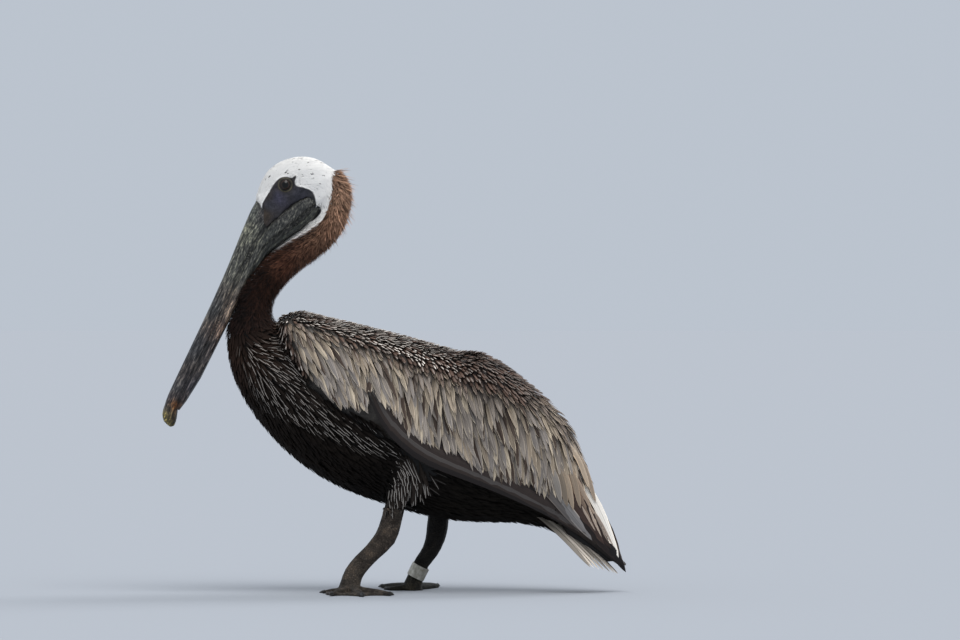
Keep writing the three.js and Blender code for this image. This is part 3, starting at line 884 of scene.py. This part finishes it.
border = np.exp(-((outline_distance(roots.point, white_head) / 0.004) ** 2)) * (roots.point[:, 2] > 0.44)
patches = [0.8 * noise.noise(Vector(p) * 170) + 0.7 * noise.noise(Vector(p) * 360) for p in roots.point]
tint = plumage(roots.point, roots.kind, 0 * roots.white)
tint = tint * (1 - 0.5 * border)[:, None] * (1.2 + 1.1 * np.array(patches))[:, None]
feathers("coat_neck", roots, spine, outs, np.full(len(roots), 0.0011), "tuft", brown_plume, tint, sides=3,
         camber=0.2, thick=0.3)

# The mane stands off the nape.
on_nape = on_top & (outline_points[:, 2] > 0.43) & (outline_outs[:, 0] > 0.25)
roots = scatter(np.where((whiteness < 0.5) & on_nape, 0.0029, 0))
tall = step(roots.point[:, 2], 0.43, 0.50)
length = 0.008 + (0.003 + 0.009 * roots.chance**2) * tall
spine, outs = lay(roots, flow(roots.point, neck_lie), length, 4, rise=(0.0, 1.0), drop=0.9, wander=0.3)
swing = np.array([0, 0.14, 0.42, 0.8])
stand = roots.out + np.array([0.25, 0, 0.05])
lifted = length * (0.14 + 0.34 * roots.chance + 0.2 * (roots.chance > 0.8))
spine += stand[:, None] * swing[None, :, None] * lifted[:, None, None]
tint = plumage(roots.point, roots.kind, 0 * roots.white) * (0.7 + 0.9 * rng.random(len(roots)))[:, None]
feathers("coat_mane", roots, spine, outs, np.full(len(roots), 0.0014), "hair", brown_plume, tint, sides=3,
         thick=0.4)

# ---- The breast, belly and thighs ----
# Dark narrow contour feathers, with pale streaks on the breast and thighs.

body_lie = [
    (-215, 335, 0.2, -1), (-200, 280, 0.5, -0.87), (-180, 330, 0.85, -0.5), (-150, 220, 0.7, -0.7),
    (-90, 165, 0.85, -0.5), (0, 120, 1, -0.2), (100, 95, 1, 0), (200, 85, 1, -0.15), (-150, 300, 0.78, -0.62),
    (-80, 220, 0.75, -0.65), (60, 160, 0.9, -0.4), (240, 100, 0.8, -0.6),
]
thigh_lie = [(-10, 185, 0.45, -0.9), (0, 150, 0.05, -1), (0, 120, -0.12, -1)]
silver_edge = [
    (-165, 372), (-155, 351), (-136, 312), (-120, 282), (-100, 260), (-71, 238), (-38, 228), (-31, 226),
    (-6, 193), (31, 167), (75, 153), (101, 145), (151, 121), (179, 116), (204, 112), (247, 70), (310, 20),
    (330, 20), (330, 600), (-165, 600),
]
streaked_breast = rounded([
    (-206, 352), (-203, 312), (-198, 284), (-182, 252), (-154, 236), (-110, 215), (-60, 195), (-15, 180),
    (0, 200), (-60, 260), (-130, 380), (-190, 350),
])
streaked_thigh = rounded([
    (-8, 196), (-9, 166), (-13, 140), (-14, 118), (14, 118), (20, 130), (38, 145), (48, 162), (32, 192),
])
dark_plume = plume_material(
    "dark_plumage", shaft=((1, 1, 1), 0.06), edge=((0.7, 0.7, 0.7), 0.3), barbs=0.1, fibres=0.5,
    root_shade=0.4, roughness=0.7, spread=0.6, streak=((184, 178, 172), 0.14, 0.2), specular=0.05,
)
to_silver = outline_distance(outline_points, silver_edge)
under_wing = (on_wing | on_flight) & (to_silver > 0.001)
under_wing &= (outline_points[:, 0] < 0.225) | (outline_outs[:, 2] < -0.3)
body_spacing = np.where((on_body & (to_silver > -0.012)) | under_wing, 0.0036, 0)
body_spacing[on_thigh] = 0.0042
roots = scatter(body_spacing, (0.6, 0.0, -0.8), 1.7)
length = (0.020 + 0.009 * roots.chance) * (1 - 0.5 * step(roots.point[:, 0], 0.185, 0.2))
length *= 1 - 0.6 * (roots.point[:, 2] > 0.333) * (roots.point[:, 0] > -0.178) * (roots.point[:, 0] < -0.14)
stride = np.array([0.056, 0, 0])  # how far the right thigh stands behind the left one
forward = roots.point - stride * (roots.point[:, 1:2] > 0)
patch = step(-outline_distance(forward, streaked_thigh), -0.004, 0.004)
on_leg = np.maximum(patch, roots.kind == 3)
lie = flow(roots.point, thigh_lie) * on_leg[:, None] + flow(roots.point, body_lie) * (1 - on_leg)[:, None]
on_edge = roots.kind >= 4
lie[on_edge] = (0.85, 0.0, -0.53)
length[on_edge] *= 0.55
knee = (roots.kind == 3) * step(-roots.point[:, 2], -0.135, -0.115)
length += 0.008 * on_leg - 0.014 * knee
collar = step(roots.point[:, 2], 0.316, 0.334) * (roots.point[:, 0] < -0.14)
spine, outs = lay(roots, lie, length, 5, rise=(0.35 * collar, 0.95 + 0.05 * collar), drop=0.4 - 0.36 * on_leg,
                  wander=0.07, extra=0.0028 * knee)
tint = plumage(roots.point, np.where(roots.kind >= 4, 2, roots.kind), 0 * roots.white)
on_breast = step(-outline_distance(roots.point, streaked_breast), -0.004, 0.008)
on_breast *= step(outline_distance(roots.point, silver_edge), 0.003, 0.011)
on_breast *= step(0.338 + 0.012 * (roots.chance - 0.5) - roots.point[:, 2], 0, 0.012)
streak = np.maximum(on_breast * (0.65 + 0.35 * roots.chance), patch)
streak = streak * (rng.random(len(roots)) < 0.62 + 0.14 * patch)
tint *= (1 + 2.4 * patch)[:, None]
feathers("coat_body", roots, spine, outs, 0.0040 + 0.0008 * on_leg, "leaf", dark_plume, tint, streak=streak)

# ---- The back and wings ----
# Small brown feathers with pale ovals along the back, which grow into long silvery coverts with cream edges.
# The coverts hang over the dark flight feathers, whose bundle runs along the wing's lower edge to its tip.

wing_lie = [
    (-140, 355, 0.25, -0.97), (-130, 310, 0.42, -0.9), (-110, 310, 0.40, -0.92), (-40, 330, 0.28, -0.96),
    (-50, 260, 0.28, -0.96), (10, 260, 0.12, -0.99), (40, 300, 0.12, -0.99), (50, 220, 0.18, -0.98),
    (95, 200, 0.34, -0.94), (120, 290, 0.25, -0.97), (140, 190, 0.2, -0.98), (200, 200, 0.24, -0.97),
    (210, 245, 0.38, -0.92), (250, 140, 0.36, -0.93), (180, 270, 0.45, -0.89), (280, 80, 0.35, -0.93),
    (-140, 330, 0.45, -0.9),
]
covert_tips = [
    (-175, 372), (-155, 351), (-136, 312), (-120, 282), (-100, 260), (-71, 238), (-37, 228), (-33, 262),
    (-12, 239), (4, 228), (20, 205), (37, 193), (75, 179), (91, 172), (114, 156), (131, 150), (153, 136),
    (173, 139), (191, 132), (227, 112), (241, 116), (256, 136), (275, 148), (460, 150),
]
back_line = [
    (-122, 288), (-136, 312), (-148, 346), (-150, 354), (-143, 363), (-127, 367), (-97, 360), (-32, 346),
    (45, 325), (97, 313), (108, 314), (123, 309), (139, 300), (155, 288), (170, 278), (186, 265), (201, 249),
    (217, 235), (233, 214), (247, 174), (266, 120), (300, 27),
]


def reach(points, lie, line):
    """How far each point is from a line of places in millimetres, along its lie in side view."""
    p, way = points[:, [0, 2]], unit(lie[:, [0, 2]])
    best = np.full(len(p), 1e3)
    ends = np.array(line) / 1000
    for a, b in zip(ends[:-1], ends[1:]):
        edge = b - a
        cross = way[:, 0] * edge[1] - way[:, 1] * edge[0]
        cross = np.where(np.abs(cross) < 1e-9, 1e-9, cross)
        t = ((a - p)[:, 0] * edge[1] - (a - p)[:, 1] * edge[0]) / cross
        s = ((a - p)[:, 0] * way[:, 1] - (a - p)[:, 1] * way[:, 0]) / cross
        best = np.where((t > 0) & (s >= 0) & (s <= 1) & (t < best), t, best)
    return best


def grown(points):
    """0 where the feathers of the back are small, 1 where those of the wing are long."""
    limits = blended(points, [
        (-145, 350, 0.004, 0.022), (-100, 350, 0.008, 0.030), (-40, 335, 0.014, 0.044),
        (-128, 302, 0.002, 0.014), (40, 305, 0.018, 0.056), (110, 285, 0.026, 0.064),
        (155, 270, 0.016, 0.054), (190, 245, -0.012, 0.040), (235, 190, -0.020, 0.026),
        (280, 80, -0.025, 0.010),
    ])
    inwards = line_distance(points, back_line)
    return np.clip((inwards - limits[:, 0]) / (limits[:, 1] - limits[:, 0]), 0, 1)


scale_plume = plume_material(
    "scale_plumage", shaft=((1.1, 1.1, 1.1), 0.04), edge=((0.6, 0.55, 0.52), 0.35), barbs=0.08,
    fibres=0.8, root_shade=0.6, roughness=0.5, spread=0.6, streak=((240, 233, 224), 0.25, 0.34),
    specular=0.1,
)
silver_plume = plume_material(
    "silver_plumage", shaft=((0.3, 0.3, 0.3), 0.07), edge=((1.7, 1.5, 1.32), 0.24), barbs=0.05,
    fibres=2.3, root_shade=0.9, roughness=0.6, spread=0.6, streak=((190, 180, 169), 0.26, 0.35),
    specular=0.12, border=(236, 222, 198),
)
flight_plume = plume_material(
    "flight_plumage", shaft=((0.4, 0.4, 0.4), 0.05), edge=((2.1, 1.95, 1.75), 0.16), barbs=0.06,
    fibres=0.8, root_shade=0.35, roughness=0.4, spread=0.5,
)
primary_plume = plume_material(
    "primary_plumage", shaft=((0.5, 0.5, 0.5), 0.04), edge=((1.7, 1.65, 1.6), 0.12), barbs=0.06,
    fibres=0.4, root_shade=0.3, tip_shade=0.8, roughness=0.38, spread=0.4,
)

silver = (on_wing | on_flight | on_body) & (to_silver < 0.001)
size = grown(outline_points)
near_side = outline_points[:, 1] < 0
covert_tones = [
    (-110, 320, 1.1), (-60, 290, 1.1), (-20, 250, 1.1), (60, 210, 1.05), (120, 180, 0.94), (30, 275, 1.18),
    (110, 270, 0.84), (170, 230, 0.92), (220, 160, 0.98),
]
spacing = 0.0042 - 0.0002 * step(size, 0.35, 1)
for name, chosen, made_of, blade, sides, stations, stretch in (
    ("coat_back", silver & (size < 0.22), scale_plume, "leaf", 4, 5, 1.7),
    ("coat_coverts_left", silver & (size >= 0.2) & near_side, silver_plume, "lance", 6, 7, 3.0),
    ("coat_coverts_right", silver & (size >= 0.2) & ~near_side, silver_plume, "lance", 6, 7, 3.0),
):
    small = made_of is scale_plume
    roots = scatter(np.where(chosen, spacing, 0), (0.38, 0.0, -0.92), stretch)
    size_here = grown(roots.point)
    lie = flow(roots.point, wing_lie, 0.3)
    room = reach(roots.point, lie, covert_tips)
    wanted = 0.014 + 0.010 * step(size_here, 0, 0.5) + 0.025 * step(size_here, 0.3, 1)
    wanted *= 0.80 + 0.5 * roots.chance
    length = np.minimum(wanted, room * rng.uniform(0.85, 1.08, len(roots)))
    kept = (room < 0.4) & (length > wanted * 0.4) & (length > 0.009)
    kept &= (roots.point[:, 0] < 0.272) | (size_here < 0.5)
    roots.keep(kept)
    size_here, lie, length = size_here[kept], lie[kept], length[kept]
    draw = rng.random((len(roots), 1))
    greys = [linear(grey) for grey in ((146, 137, 129), (138, 131, 126), (160, 146, 129), (188, 174, 154))]
    hues = np.select([draw < share for share in (0.36, 0.52, 0.74, 0.84)], greys, linear((78, 66, 59)))
    hues = hues * blended(roots.point, covert_tones)
    brown = linear((78, 62, 54)) * (0.6 + 0.8 * roots.chance)[:, None]
    greyed = step(size_here, 0.1, 0.7)[:, None]
    shown = np.where(rng.random(len(roots)) < 0.62, 0.4 + 0.6 * rng.random(len(roots)), 0.05)
    shown *= (1 - step(size_here, 0.3, 0.85)) * (1 - 0.65 * step(size_here, 0.02, 0.22) * small)
    # On the feathers that face up along the top of the back the pale ovals are made fuller: partly their own
    # pattern, partly a painted highlight on the lit top.
    shown += 1.5 * step(roots.out[:, 2], 0.3, 0.8) * (size_here < 0.12) * (roots.chance < 0.62)
    shown *= 1 - 0.85 * step(roots.point[:, 0], 0.02, 0.10) * (size_here < 0.5)
    rise = (0.1, 1.05) if small else (0.0, np.where(roots.chance > 0.5, 1.0, 0.55))
    spine, outs = lay(roots, lie, length, stations, rise=rise, drop=0.12, wander=0.08)
    width = (0.0043 + 0.0033 * step(size_here, 0.35, 1)) * rng.uniform(0.8, 1.25, len(roots))
    tint = brown * (1 - greyed) + hues * greyed
    feathers(name, roots, spine, outs, width, blade, made_of, tint, sides=sides, jag=0.3, twist=0.12,
             streak=shown)


def along_line(line, share):
    """The place at a share of the way along a line."""
    line = np.array(line, float)
    runs = np.r_[0, np.cumsum(np.linalg.norm(np.diff(line, axis=0), axis=1))]
    return np.array([np.interp(share * runs[-1], runs, line[:, k]) for k in (0, 1)])


def drawn(lines, side, low, high, risen, stations=18):
    """Spines along lines of places in side view, in millimetres, laid on one side of the outline. They rise
    from the height low over it to the height high between two shares of their length."""
    spine = np.empty((len(lines), stations, 3))
    outs = np.empty((len(lines), stations, 3))
    t = np.linspace(0, 1, stations)
    for i, line in enumerate(lines):
        flat = np.array([along_line(line, share) for share in t]) / 1000
        for _ in range(10):
            flat[1:-1] = (flat[:-2] + 2 * flat[1:-1] + flat[2:]) / 4
        ys, ways = [], []
        for x, z in flat:
            place, way, _, _ = outline.ray_cast(Vector((x, side * 0.5, z)), Vector((0, -side, 0)))
            ys.append(np.nan if place is None else place.y)
            ways.append((0, side, 0) if place is None else tuple(way))
        ys = np.array(ys)
        known = ~np.isnan(ys) & (ys * side > 0)
        ys = np.interp(t, t[known], ys[known])
        soft = np.convolve(np.pad(ys, 2, "edge"), np.ones(5) / 5, "valid")
        ways = unit(np.array(ways) + np.array([0, side * 0.7, 0.1]))
        height = low[i] + (high[i] - low[i]) * step(t, *risen)
        spine[i] = np.c_[flat[:, 0], soft, flat[:, 1]] + ways * height[:, None]
        outs[i] = ways
    return spine, outs


def own_roots(spine):
    """Roots for feathers whose spines are drawn, at the skin nearest to where each starts."""
    made = Roots.__new__(Roots)
    made.point = spine[:, 0]
    found = [outline.find_nearest(Vector(p))[2] for p in made.point]
    made.uv = unwrap[corner_loops[found]].mean(axis=1)
    made.chance = rng.random(len(spine))
    return made


# The flight feathers of the hand, from the lowest one up: its share of the wing's lower edge, and its colour.
# The paler third one is partly its own grey and partly a painted highlight, the sheen along the band of
# flight feathers.
lower_edge = [
    (-36, 252), (-22, 222), (-4, 197), (31, 169), (75, 155), (101, 148), (150, 126), (179, 115), (247, 75),
    (300, 28),
]
hand = [
    (0.995, (42, 35, 33)), (0.985, (60, 50, 45)), (0.95, (90, 84, 81)), (0.93, (60, 50, 46)),
    (0.96, (36, 28, 26)), (0.89, (52, 40, 36)), (0.95, (34, 26, 24)), (0.85, (46, 36, 32)),
]
# Where the flight feathers of the arm end.
arm_tips = [
    (62, 178), (84, 163), (108, 148), (132, 137), (156, 126), (180, 121), (204, 112), (226, 97), (243, 78),
]
# Single feathers at the rear of the wing: root, tip, width, colour and height over the outline.
loose = [
    ((200, 100), (283, 39), 0.016, (26, 23, 22), -0.0030),
    ((205, 122), (283, 46), 0.012, (30, 26, 25), -0.0026),
    ((170, 164), (248, 76), 0.014, (116, 110, 107), 0.0),
    ((180, 160), (256, 68), 0.012, (142, 138, 136), 0.0004),
    ((200, 150), (286, 42), 0.013, (40, 32, 30), 0.0), ((190, 176), (272, 62), 0.012, (66, 51, 45), 0.0004),
    ((206, 172), (281, 56), 0.011, (54, 42, 37), 0.0006),
    ((262, 124), (297, 34), 0.006, (58, 48, 44), 0.0002),
    ((206, 186), (254, 92), 0.008, (122, 104, 90), 0.0006),
    ((216, 186), (262, 88), 0.006, (150, 132, 116), 0.0009),
    ((236, 172), (290, 45), 0.014, (226, 221, 213), 0.0014),
    ((228, 150), (268, 72), 0.0035, (176, 160, 146), 0.0012),
    ((236, 140), (276, 66), 0.003, (160, 146, 134), 0.0012),
    ((222, 140), (260, 80), 0.003, (168, 152, 138), 0.0012),
    ((230, 206), (260, 116), 0.008, (150, 134, 118), 0.0016),
    ((258, 88), (300, 26), 0.010, (26, 22, 22), 0.0006),
    ((222, 208), (252, 134), 0.008, (166, 150, 132), 0.0016),
    ((242, 132), (284, 58), 0.003, (150, 136, 126), 0.0012),
    ((206, 184), (223, 112), 0.009, (140, 127, 112), 0.0012),
    ((213, 182), (231, 107), 0.008, (158, 142, 124), 0.0015),
    ((221, 184), (240, 110), 0.008, (150, 134, 117), 0.0014),
    ((198, 180), (215, 117), 0.009, (132, 126, 120), 0.0012),
]
for side, name in ((-1, "left"), (1, "right")):
    lines = []
    for i, (share, shade) in enumerate(hand):
        spots = [along_line(lower_edge, share * k / 12) for k in range(13)]
        raised = np.array([0.45, 0.88]) * (5.5 + 6.0 * i)
        lines.append([spot + raised * (1 - 0.72 * k / 12) for k, spot in enumerate(spots)])
    high = [-0.0010 - 0.0004 * i for i in range(4)]
    high += [-0.0040 - 0.0002 * i for i in range(len(hand) - 4)]
    spine, outs = drawn(lines, side, [-0.0056] * len(hand), high, (0.05, 0.17), 30)
    tint = np.array([linear(shade) for _, shade in hand]) * rng.uniform(0.9, 1.1, (len(hand), 1))
    feathers(f"primaries_{name}", own_roots(spine), spine, outs, np.full(len(hand), 0.0125), "quill",
             primary_plume, tint, sides=6, camber=0.12, thick=0.08)

    lines = [[(x - 48, z + 98), (x - 26, z + 46), (x, z)] for x, z in arm_tips]
    lines += [[root, tuple(sum(pair) / 2 + 1.5 for pair in zip(root, tip)), tip] for root, tip, *_ in loose]
    widths = np.array([0.014] * len(arm_tips) + [wide for _, _, wide, _, _ in loose])
    high = [-0.0046 + 0.0001 * i for i in range(len(arm_tips))] + [height for *_, height in loose]
    spine, outs = drawn(lines, side, [-0.0060] * len(lines), high, (0.15, 0.55))
    tint = [linear((60, 48, 43)) * rng.uniform(0.7, 1.2) for _ in arm_tips]
    tint = np.array(tint + [linear(shade) for *_, shade, _ in loose])
    feathers(f"secondaries_{name}", own_roots(spine), spine, outs, widths, "plume", flight_plume, tint,
             sides=6, camber=0.12, thick=0.08)

# ---- The tail ----
# Tail feathers in a shallow arch, pale with white shafts, and with dark edges that are painted shade between
# the overlapping feathers; the outermost the shortest.

tail_count = 22
tail_middle = (tail_count - 1) / 2
spine = np.empty((tail_count, 12, 3))
outs = np.empty((tail_count, 12, 3))
t = np.linspace(0, 1, 12)
for i in range(tail_count):
    s = (i - tail_middle) / tail_middle
    start = np.array([0.160, 0.016 * s, 0.127 - 0.007 * s * s])
    shorter = step(abs(s), 0.3, 0.95)
    tip = np.array([0.289 - 0.035 * shorter, 0.041 * s, 0.0225 + 0.012 * shorter])
    way = np.array([0.616, 0.55 * s, 0.788])
    way /= np.linalg.norm(way)
    height = 0.0020 - 0.00035 * abs(i - tail_middle) + 0.0075 * np.sin(t * 3.1)
    spine[i] = start + (tip - start) * t[:, None] + way * height[:, None]
    outs[i] = way
tint = linear((192, 183, 172)) * rng.uniform(0.45, 1.3, (tail_count, 1))
# The dark edge of each tail feather is painted shade where its neighbour overlaps it.
tail_plume = plume_material(
    "tail_plumage", shaft=((1.9, 1.85, 1.8), 0.10), edge=((0.16, 0.14, 0.13), 0.14), barbs=0.08,
    fibres=1.3, root_shade=0.15, roughness=0.45, spread=0.4,
)
rectrices = feathers("tail_feathers", own_roots(spine), spine, outs, np.full(tail_count, 0.0125), "plume",
                     tail_plume, tint, sides=6, camber=0.15, thick=0.1)
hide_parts("tail")

# ---- The bill ----
# Long grey horn with streaks down its length, a hooked nail, and the pouch folded away under the lower jaw.

culmen = [(-180, 511), (-184, 503), (-214, 429), (-256, 337), (-298, 250), (-304, 230)]
bill_root = np.array(culmen[0]) / 1000
bill_way = unit(np.array(culmen[-1]) / 1000 - bill_root)


def solid_copy(nodes, name, grow, voxel, smoothing):
    """A finely divided, rounded copy of CAD nodes."""
    piece = copy_of(nodes, name)
    swell(piece, grow)
    remesh(piece, voxel, smoothing)
    return piece


def finish_piece(piece, made_of, slot_name, *replaced):
    """Gives a piece its material, and the CAD nodes it is shown instead of. slot_name is not used."""
    piece.data.materials.append(made_of)
    select_only(piece)
    bpy.ops.object.shade_smooth()
    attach(piece, "root")
    if replaced:
        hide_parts(*replaced)


bill_places = [
    (-185, 495, 76, 78, 74), (-168, 492, 60, 57, 58), (-195, 470, 104, 104, 93), (-215, 425, 84, 84, 79),
    (-235, 370, 70, 70, 70), (-262, 320, 54, 54, 57), (-285, 265, 72, 71, 73), (-298, 247, 70, 66, 70),
    (-165, 470, 62, 63, 60), (-130, 500, 58, 58, 56), (-190, 430, 70, 70, 66), (-212, 365, 112, 98, 88),
    (-222, 340, 96, 80, 72), (-235, 312, 66, 60, 60), (-262, 265, 50, 48, 54), (-280, 238, 48, 38, 34),
    (-286, 243, 136, 82, 40), (-301, 238, 84, 78, 64), (-302, 231, 128, 116, 62), (-298, 221, 116, 104, 58),
    (-291, 216, 96, 86, 52), (-287, 226, 58, 48, 36), (-293, 253, 62, 58, 62), (-279, 252, 50, 46, 50),
    (-295, 240, 74, 66, 58),
]


def bill_tints(piece, dark=1.0, leather=None):
    """Colours a piece of the bill, and lays its grain along the culmen. leather is its share of bare skin."""
    points = points_of(piece)
    colour = linear(blended(points, bill_places)) * dark
    if leather is not None:
        colour = colour * (1 - leather[:, None]) + linear((40, 42, 38)) * leather[:, None]
    set_tint(piece, colour)
    run = (points[:, [0, 2]] - bill_root) @ bill_way
    run = run * 48 - 4 * np.exp(-np.maximum(run, -0.03) / 0.05)
    grain = np.c_[run, line_distance(points, culmen) * 290, points[:, 1] * 230]
    set_values(piece, "grain", grain, "FLOAT_VECTOR")


def horn_material(name, roughness, contrast):
    """Horn with streaks and spots along its grain."""
    made, tree, shader = material(name, roughness=roughness, specular=0.4)
    grain = held(tree, "grain", "Vector")
    streaks = speckle(tree, grain, 1.7, 6.0, 0.7)
    spots = speckle(tree, grain, 5.0, 3.0, 0.6)
    pale = (1 + 3.2 * contrast, 1 + 3.1 * contrast, 1 + 2.6 * contrast, 1)
    dark = ramp(tree, streaks, [(0.40, 1 - 0.85 * contrast), (0.50, 0.9), (0.55, 1.25), (0.62, pale)])
    colour = times(tree, held(tree, "tint", "Color"), dark)
    colour = times(tree, colour, ramp(tree, spots, [(0.3, 0.6), (0.55, 1.0), (0.72, 1.7)]))
    surface(tree, shader, colour, streaks + spots * 0.5, 0.4, 0.0008)
    return made


bill_horn = horn_material("bill_horn", 0.5, 1.0)
upper = solid_copy(["bill_upper", "bill_nail"], "upper_bill", 0.0006, 0.0011, 3)
points, outs = points_of(upper), outs_of(upper)
inside = line_distance(points, culmen)
run = (points[:, [0, 2]] - bill_root) @ bill_way
groove = np.exp(-(((inside - 0.0068 + 0.006 * run) / 0.0009) ** 2))
groove *= step(run, 0.004, 0.03) * (np.abs(points[:, 1]) > 0.004)
sunk = 1 - step(run, -0.012, 0.020)
set_points(upper, points - outs * (0.0009 * groove + 0.0026 * sunk)[:, None])
bill_tints(upper)
finish_piece(upper, bill_horn, "bill_horn", "bill_upper", "bill_nail")

# A lining fills the grooves between the bill, the pouch and the nail; it is painted at half the bill's
# colour, as painted shade in the grooves.
lining = solid_copy(["bill_upper", "bill_lower", "pouch", "bill_nail"], "shaded_mouth_lining", 0.0034, 0.0016, 2)
swell(lining, -0.0042)
bill_tints(lining, 0.5)
finish_piece(lining, bill_horn, "pouch_skin")

lower = copy_of(["bill_lower"], "lower_bill")
swell(lower, 0.0007)
pouch = copy_of(["pouch"], "pouch_skin")
points = points_of(pouch)
set_points(pouch, points + outs_of(pouch) * (0.0003 + 0.0015 * step(points[:, 2], 0.29, 0.36))[:, None])
select_only(lower, pouch)
bpy.ops.object.join()
remesh(lower, 0.0011, 4)
points, outs = points_of(lower), outs_of(lower)
horn_tree, pouch_tree = surface_tree(["bill_lower"]), surface_tree(["pouch"])
leather = [horn_tree.find_nearest(Vector(p))[3] - pouch_tree.find_nearest(Vector(p))[3] for p in points]
leather = step(np.array(leather), -0.0002, 0.0006)
wrinkle = [noise.noise(Vector((x * 210 + z * 40, y * 90, z * 70 - x * 60))) for x, y, z in points]
set_points(lower, points - outs * (0.0002 + 0.0005 * leather * (1 + np.array(wrinkle)))[:, None])
bill_tints(lower, leather=leather)
finish_piece(lower, bill_horn, "bill_horn", "bill_lower", "pouch")

# ---- The eyes ----
# Dark brown irises round black pupils, under a clear gloss, with a thin pale ring at the rim of the lid.

eye_material, tree, shader = material("eye", roughness=0.12, specular=0.3)
iris = ramp(tree, held(tree, "turn"), [
    (0.0, 0.002), (0.52, 0.002), (0.60, (0.022, 0.013, 0.010, 1)), (0.84, (0.030, 0.018, 0.013, 1)),
    (0.94, (0.006, 0.005, 0.005, 1)), (1.0, (0.03, 0.027, 0.02, 1)),
])
iris = mixed(tree, 0.5, iris, speckle(tree, own_place(tree), 700.0, 3.0), "OVERLAY")
feed(tree, shader.inputs["Base Color"], iris)
for name, place in eye_places.items():
    bpy.ops.mesh.primitive_uv_sphere_add(segments=48, ring_count=32, radius=eye_radius)
    eye = bpy.context.active_object
    eye.name = name + "_ball"
    points = points_of(eye)
    side = math.copysign(1, place.y)
    away = np.hypot(points[:, 0], points[:, 2])
    set_values(eye, "turn", np.where(points[:, 1] * side > 0, away / 0.0073, 1.0))
    bulge = 0.0006 * step(-away, -0.006, -0.001) * (points[:, 1] * side > 0) * side
    points[:, 1] += bulge
    set_points(eye, points + np.array(place))
    finish_piece(eye, eye_material, "eye", name)

# ---- The legs ----
# Dark scaly legs and webbed feet, with long claws, and a metal band above the right foot.

leg_material, tree, shader = material("leg_skin", roughness=0.6, specular=0.15)
where = own_place(tree)
cells = wire(tree, "ShaderNodeTexVoronoi", {"feature": "DISTANCE_TO_EDGE", "Scale": 420.0}, Vector=where)
to_edge = cells.outputs["Distance"]
colour = held(tree, "tint", "Color")
mottle = [(0.34, (0.5, 0.46, 0.44, 1)), (0.5, 1.0), (0.66, (1.9, 1.75, 1.6, 1))]
for value, stops in (
    (to_edge, [(0.0, 0.3), (0.12, 1.0)]),
    (speckle(tree, where, 80.0, 6.0, 0.65), mottle),
    (speckle(tree, where, 520.0, 2.0), [(0.60, 1.0), (0.68, 2.2)]),
):
    colour = times(tree, colour, ramp(tree, value, stops))
surface(tree, shader, colour, ramp(tree, to_edge, [(0.0, 0.0), (0.25, 1.0)]), 0.9, 0.0006)
claw_material = horn_material("claw_horn", 0.4, 0.3)

# The right leg, the far one, is painted darker than the left, and darkest high up under the body: painted
# shade.
leg_tints_and_shade = (("left", (66, 61, 56), (67, 60, 54)), ("right", (45, 43, 37), (24, 22, 20)))
for name, low_tint, high_tint in leg_tints_and_shade:
    nodes = [f"{part}_{name}" for part in ("shank", "tarsus", "foot")]
    leg = solid_copy(nodes, f"leg_{name}_skin", 0.0007, 0.0011, 3)
    points = points_of(leg)
    points[:, 2] = np.maximum(points[:, 2], 0)
    set_points(leg, points)
    share = step(points[:, 2], 0.01, 0.07)[:, None]
    set_tint(leg, linear(low_tint) * (1 - share) + linear(high_tint) * share)
    finish_piece(leg, leg_material, "leg_skin", *nodes)
    claws = [f"claw_{name}_{i}" for i in range(1, 5)]
    claw = solid_copy(claws, f"claws_{name}", 0.0002, 0.0005, 2)
    points = points_of(claw)
    set_tint(claw, linear((34, 31, 28)) * np.ones((len(points), 1)))
    set_values(claw, "grain", points * 400, "FLOAT_VECTOR")
    finish_piece(claw, claw_material, "claw_horn", *claws)

band_material, tree, shader = material("metal_band", roughness=0.42, specular=0.5)
shader.inputs["Metallic"].default_value = 0.9
wear = speckle(tree, own_place(tree), 160.0, 6.0)
colour = ramp(tree, wear, [(0.3, (0.26, 0.24, 0.19, 1)), (0.7, (0.58, 0.55, 0.48, 1))])
surface(tree, shader, colour, wear, 0.3, 0.0003)
band = copy_of(["leg_band"], "band")
finish_piece(band, band_material, "metal_band", "leg_band")
select_only(band)
bpy.ops.object.shade_smooth_by_angle(angle=math.radians(35))

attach(skin, "root")
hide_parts(*flesh, *wings)
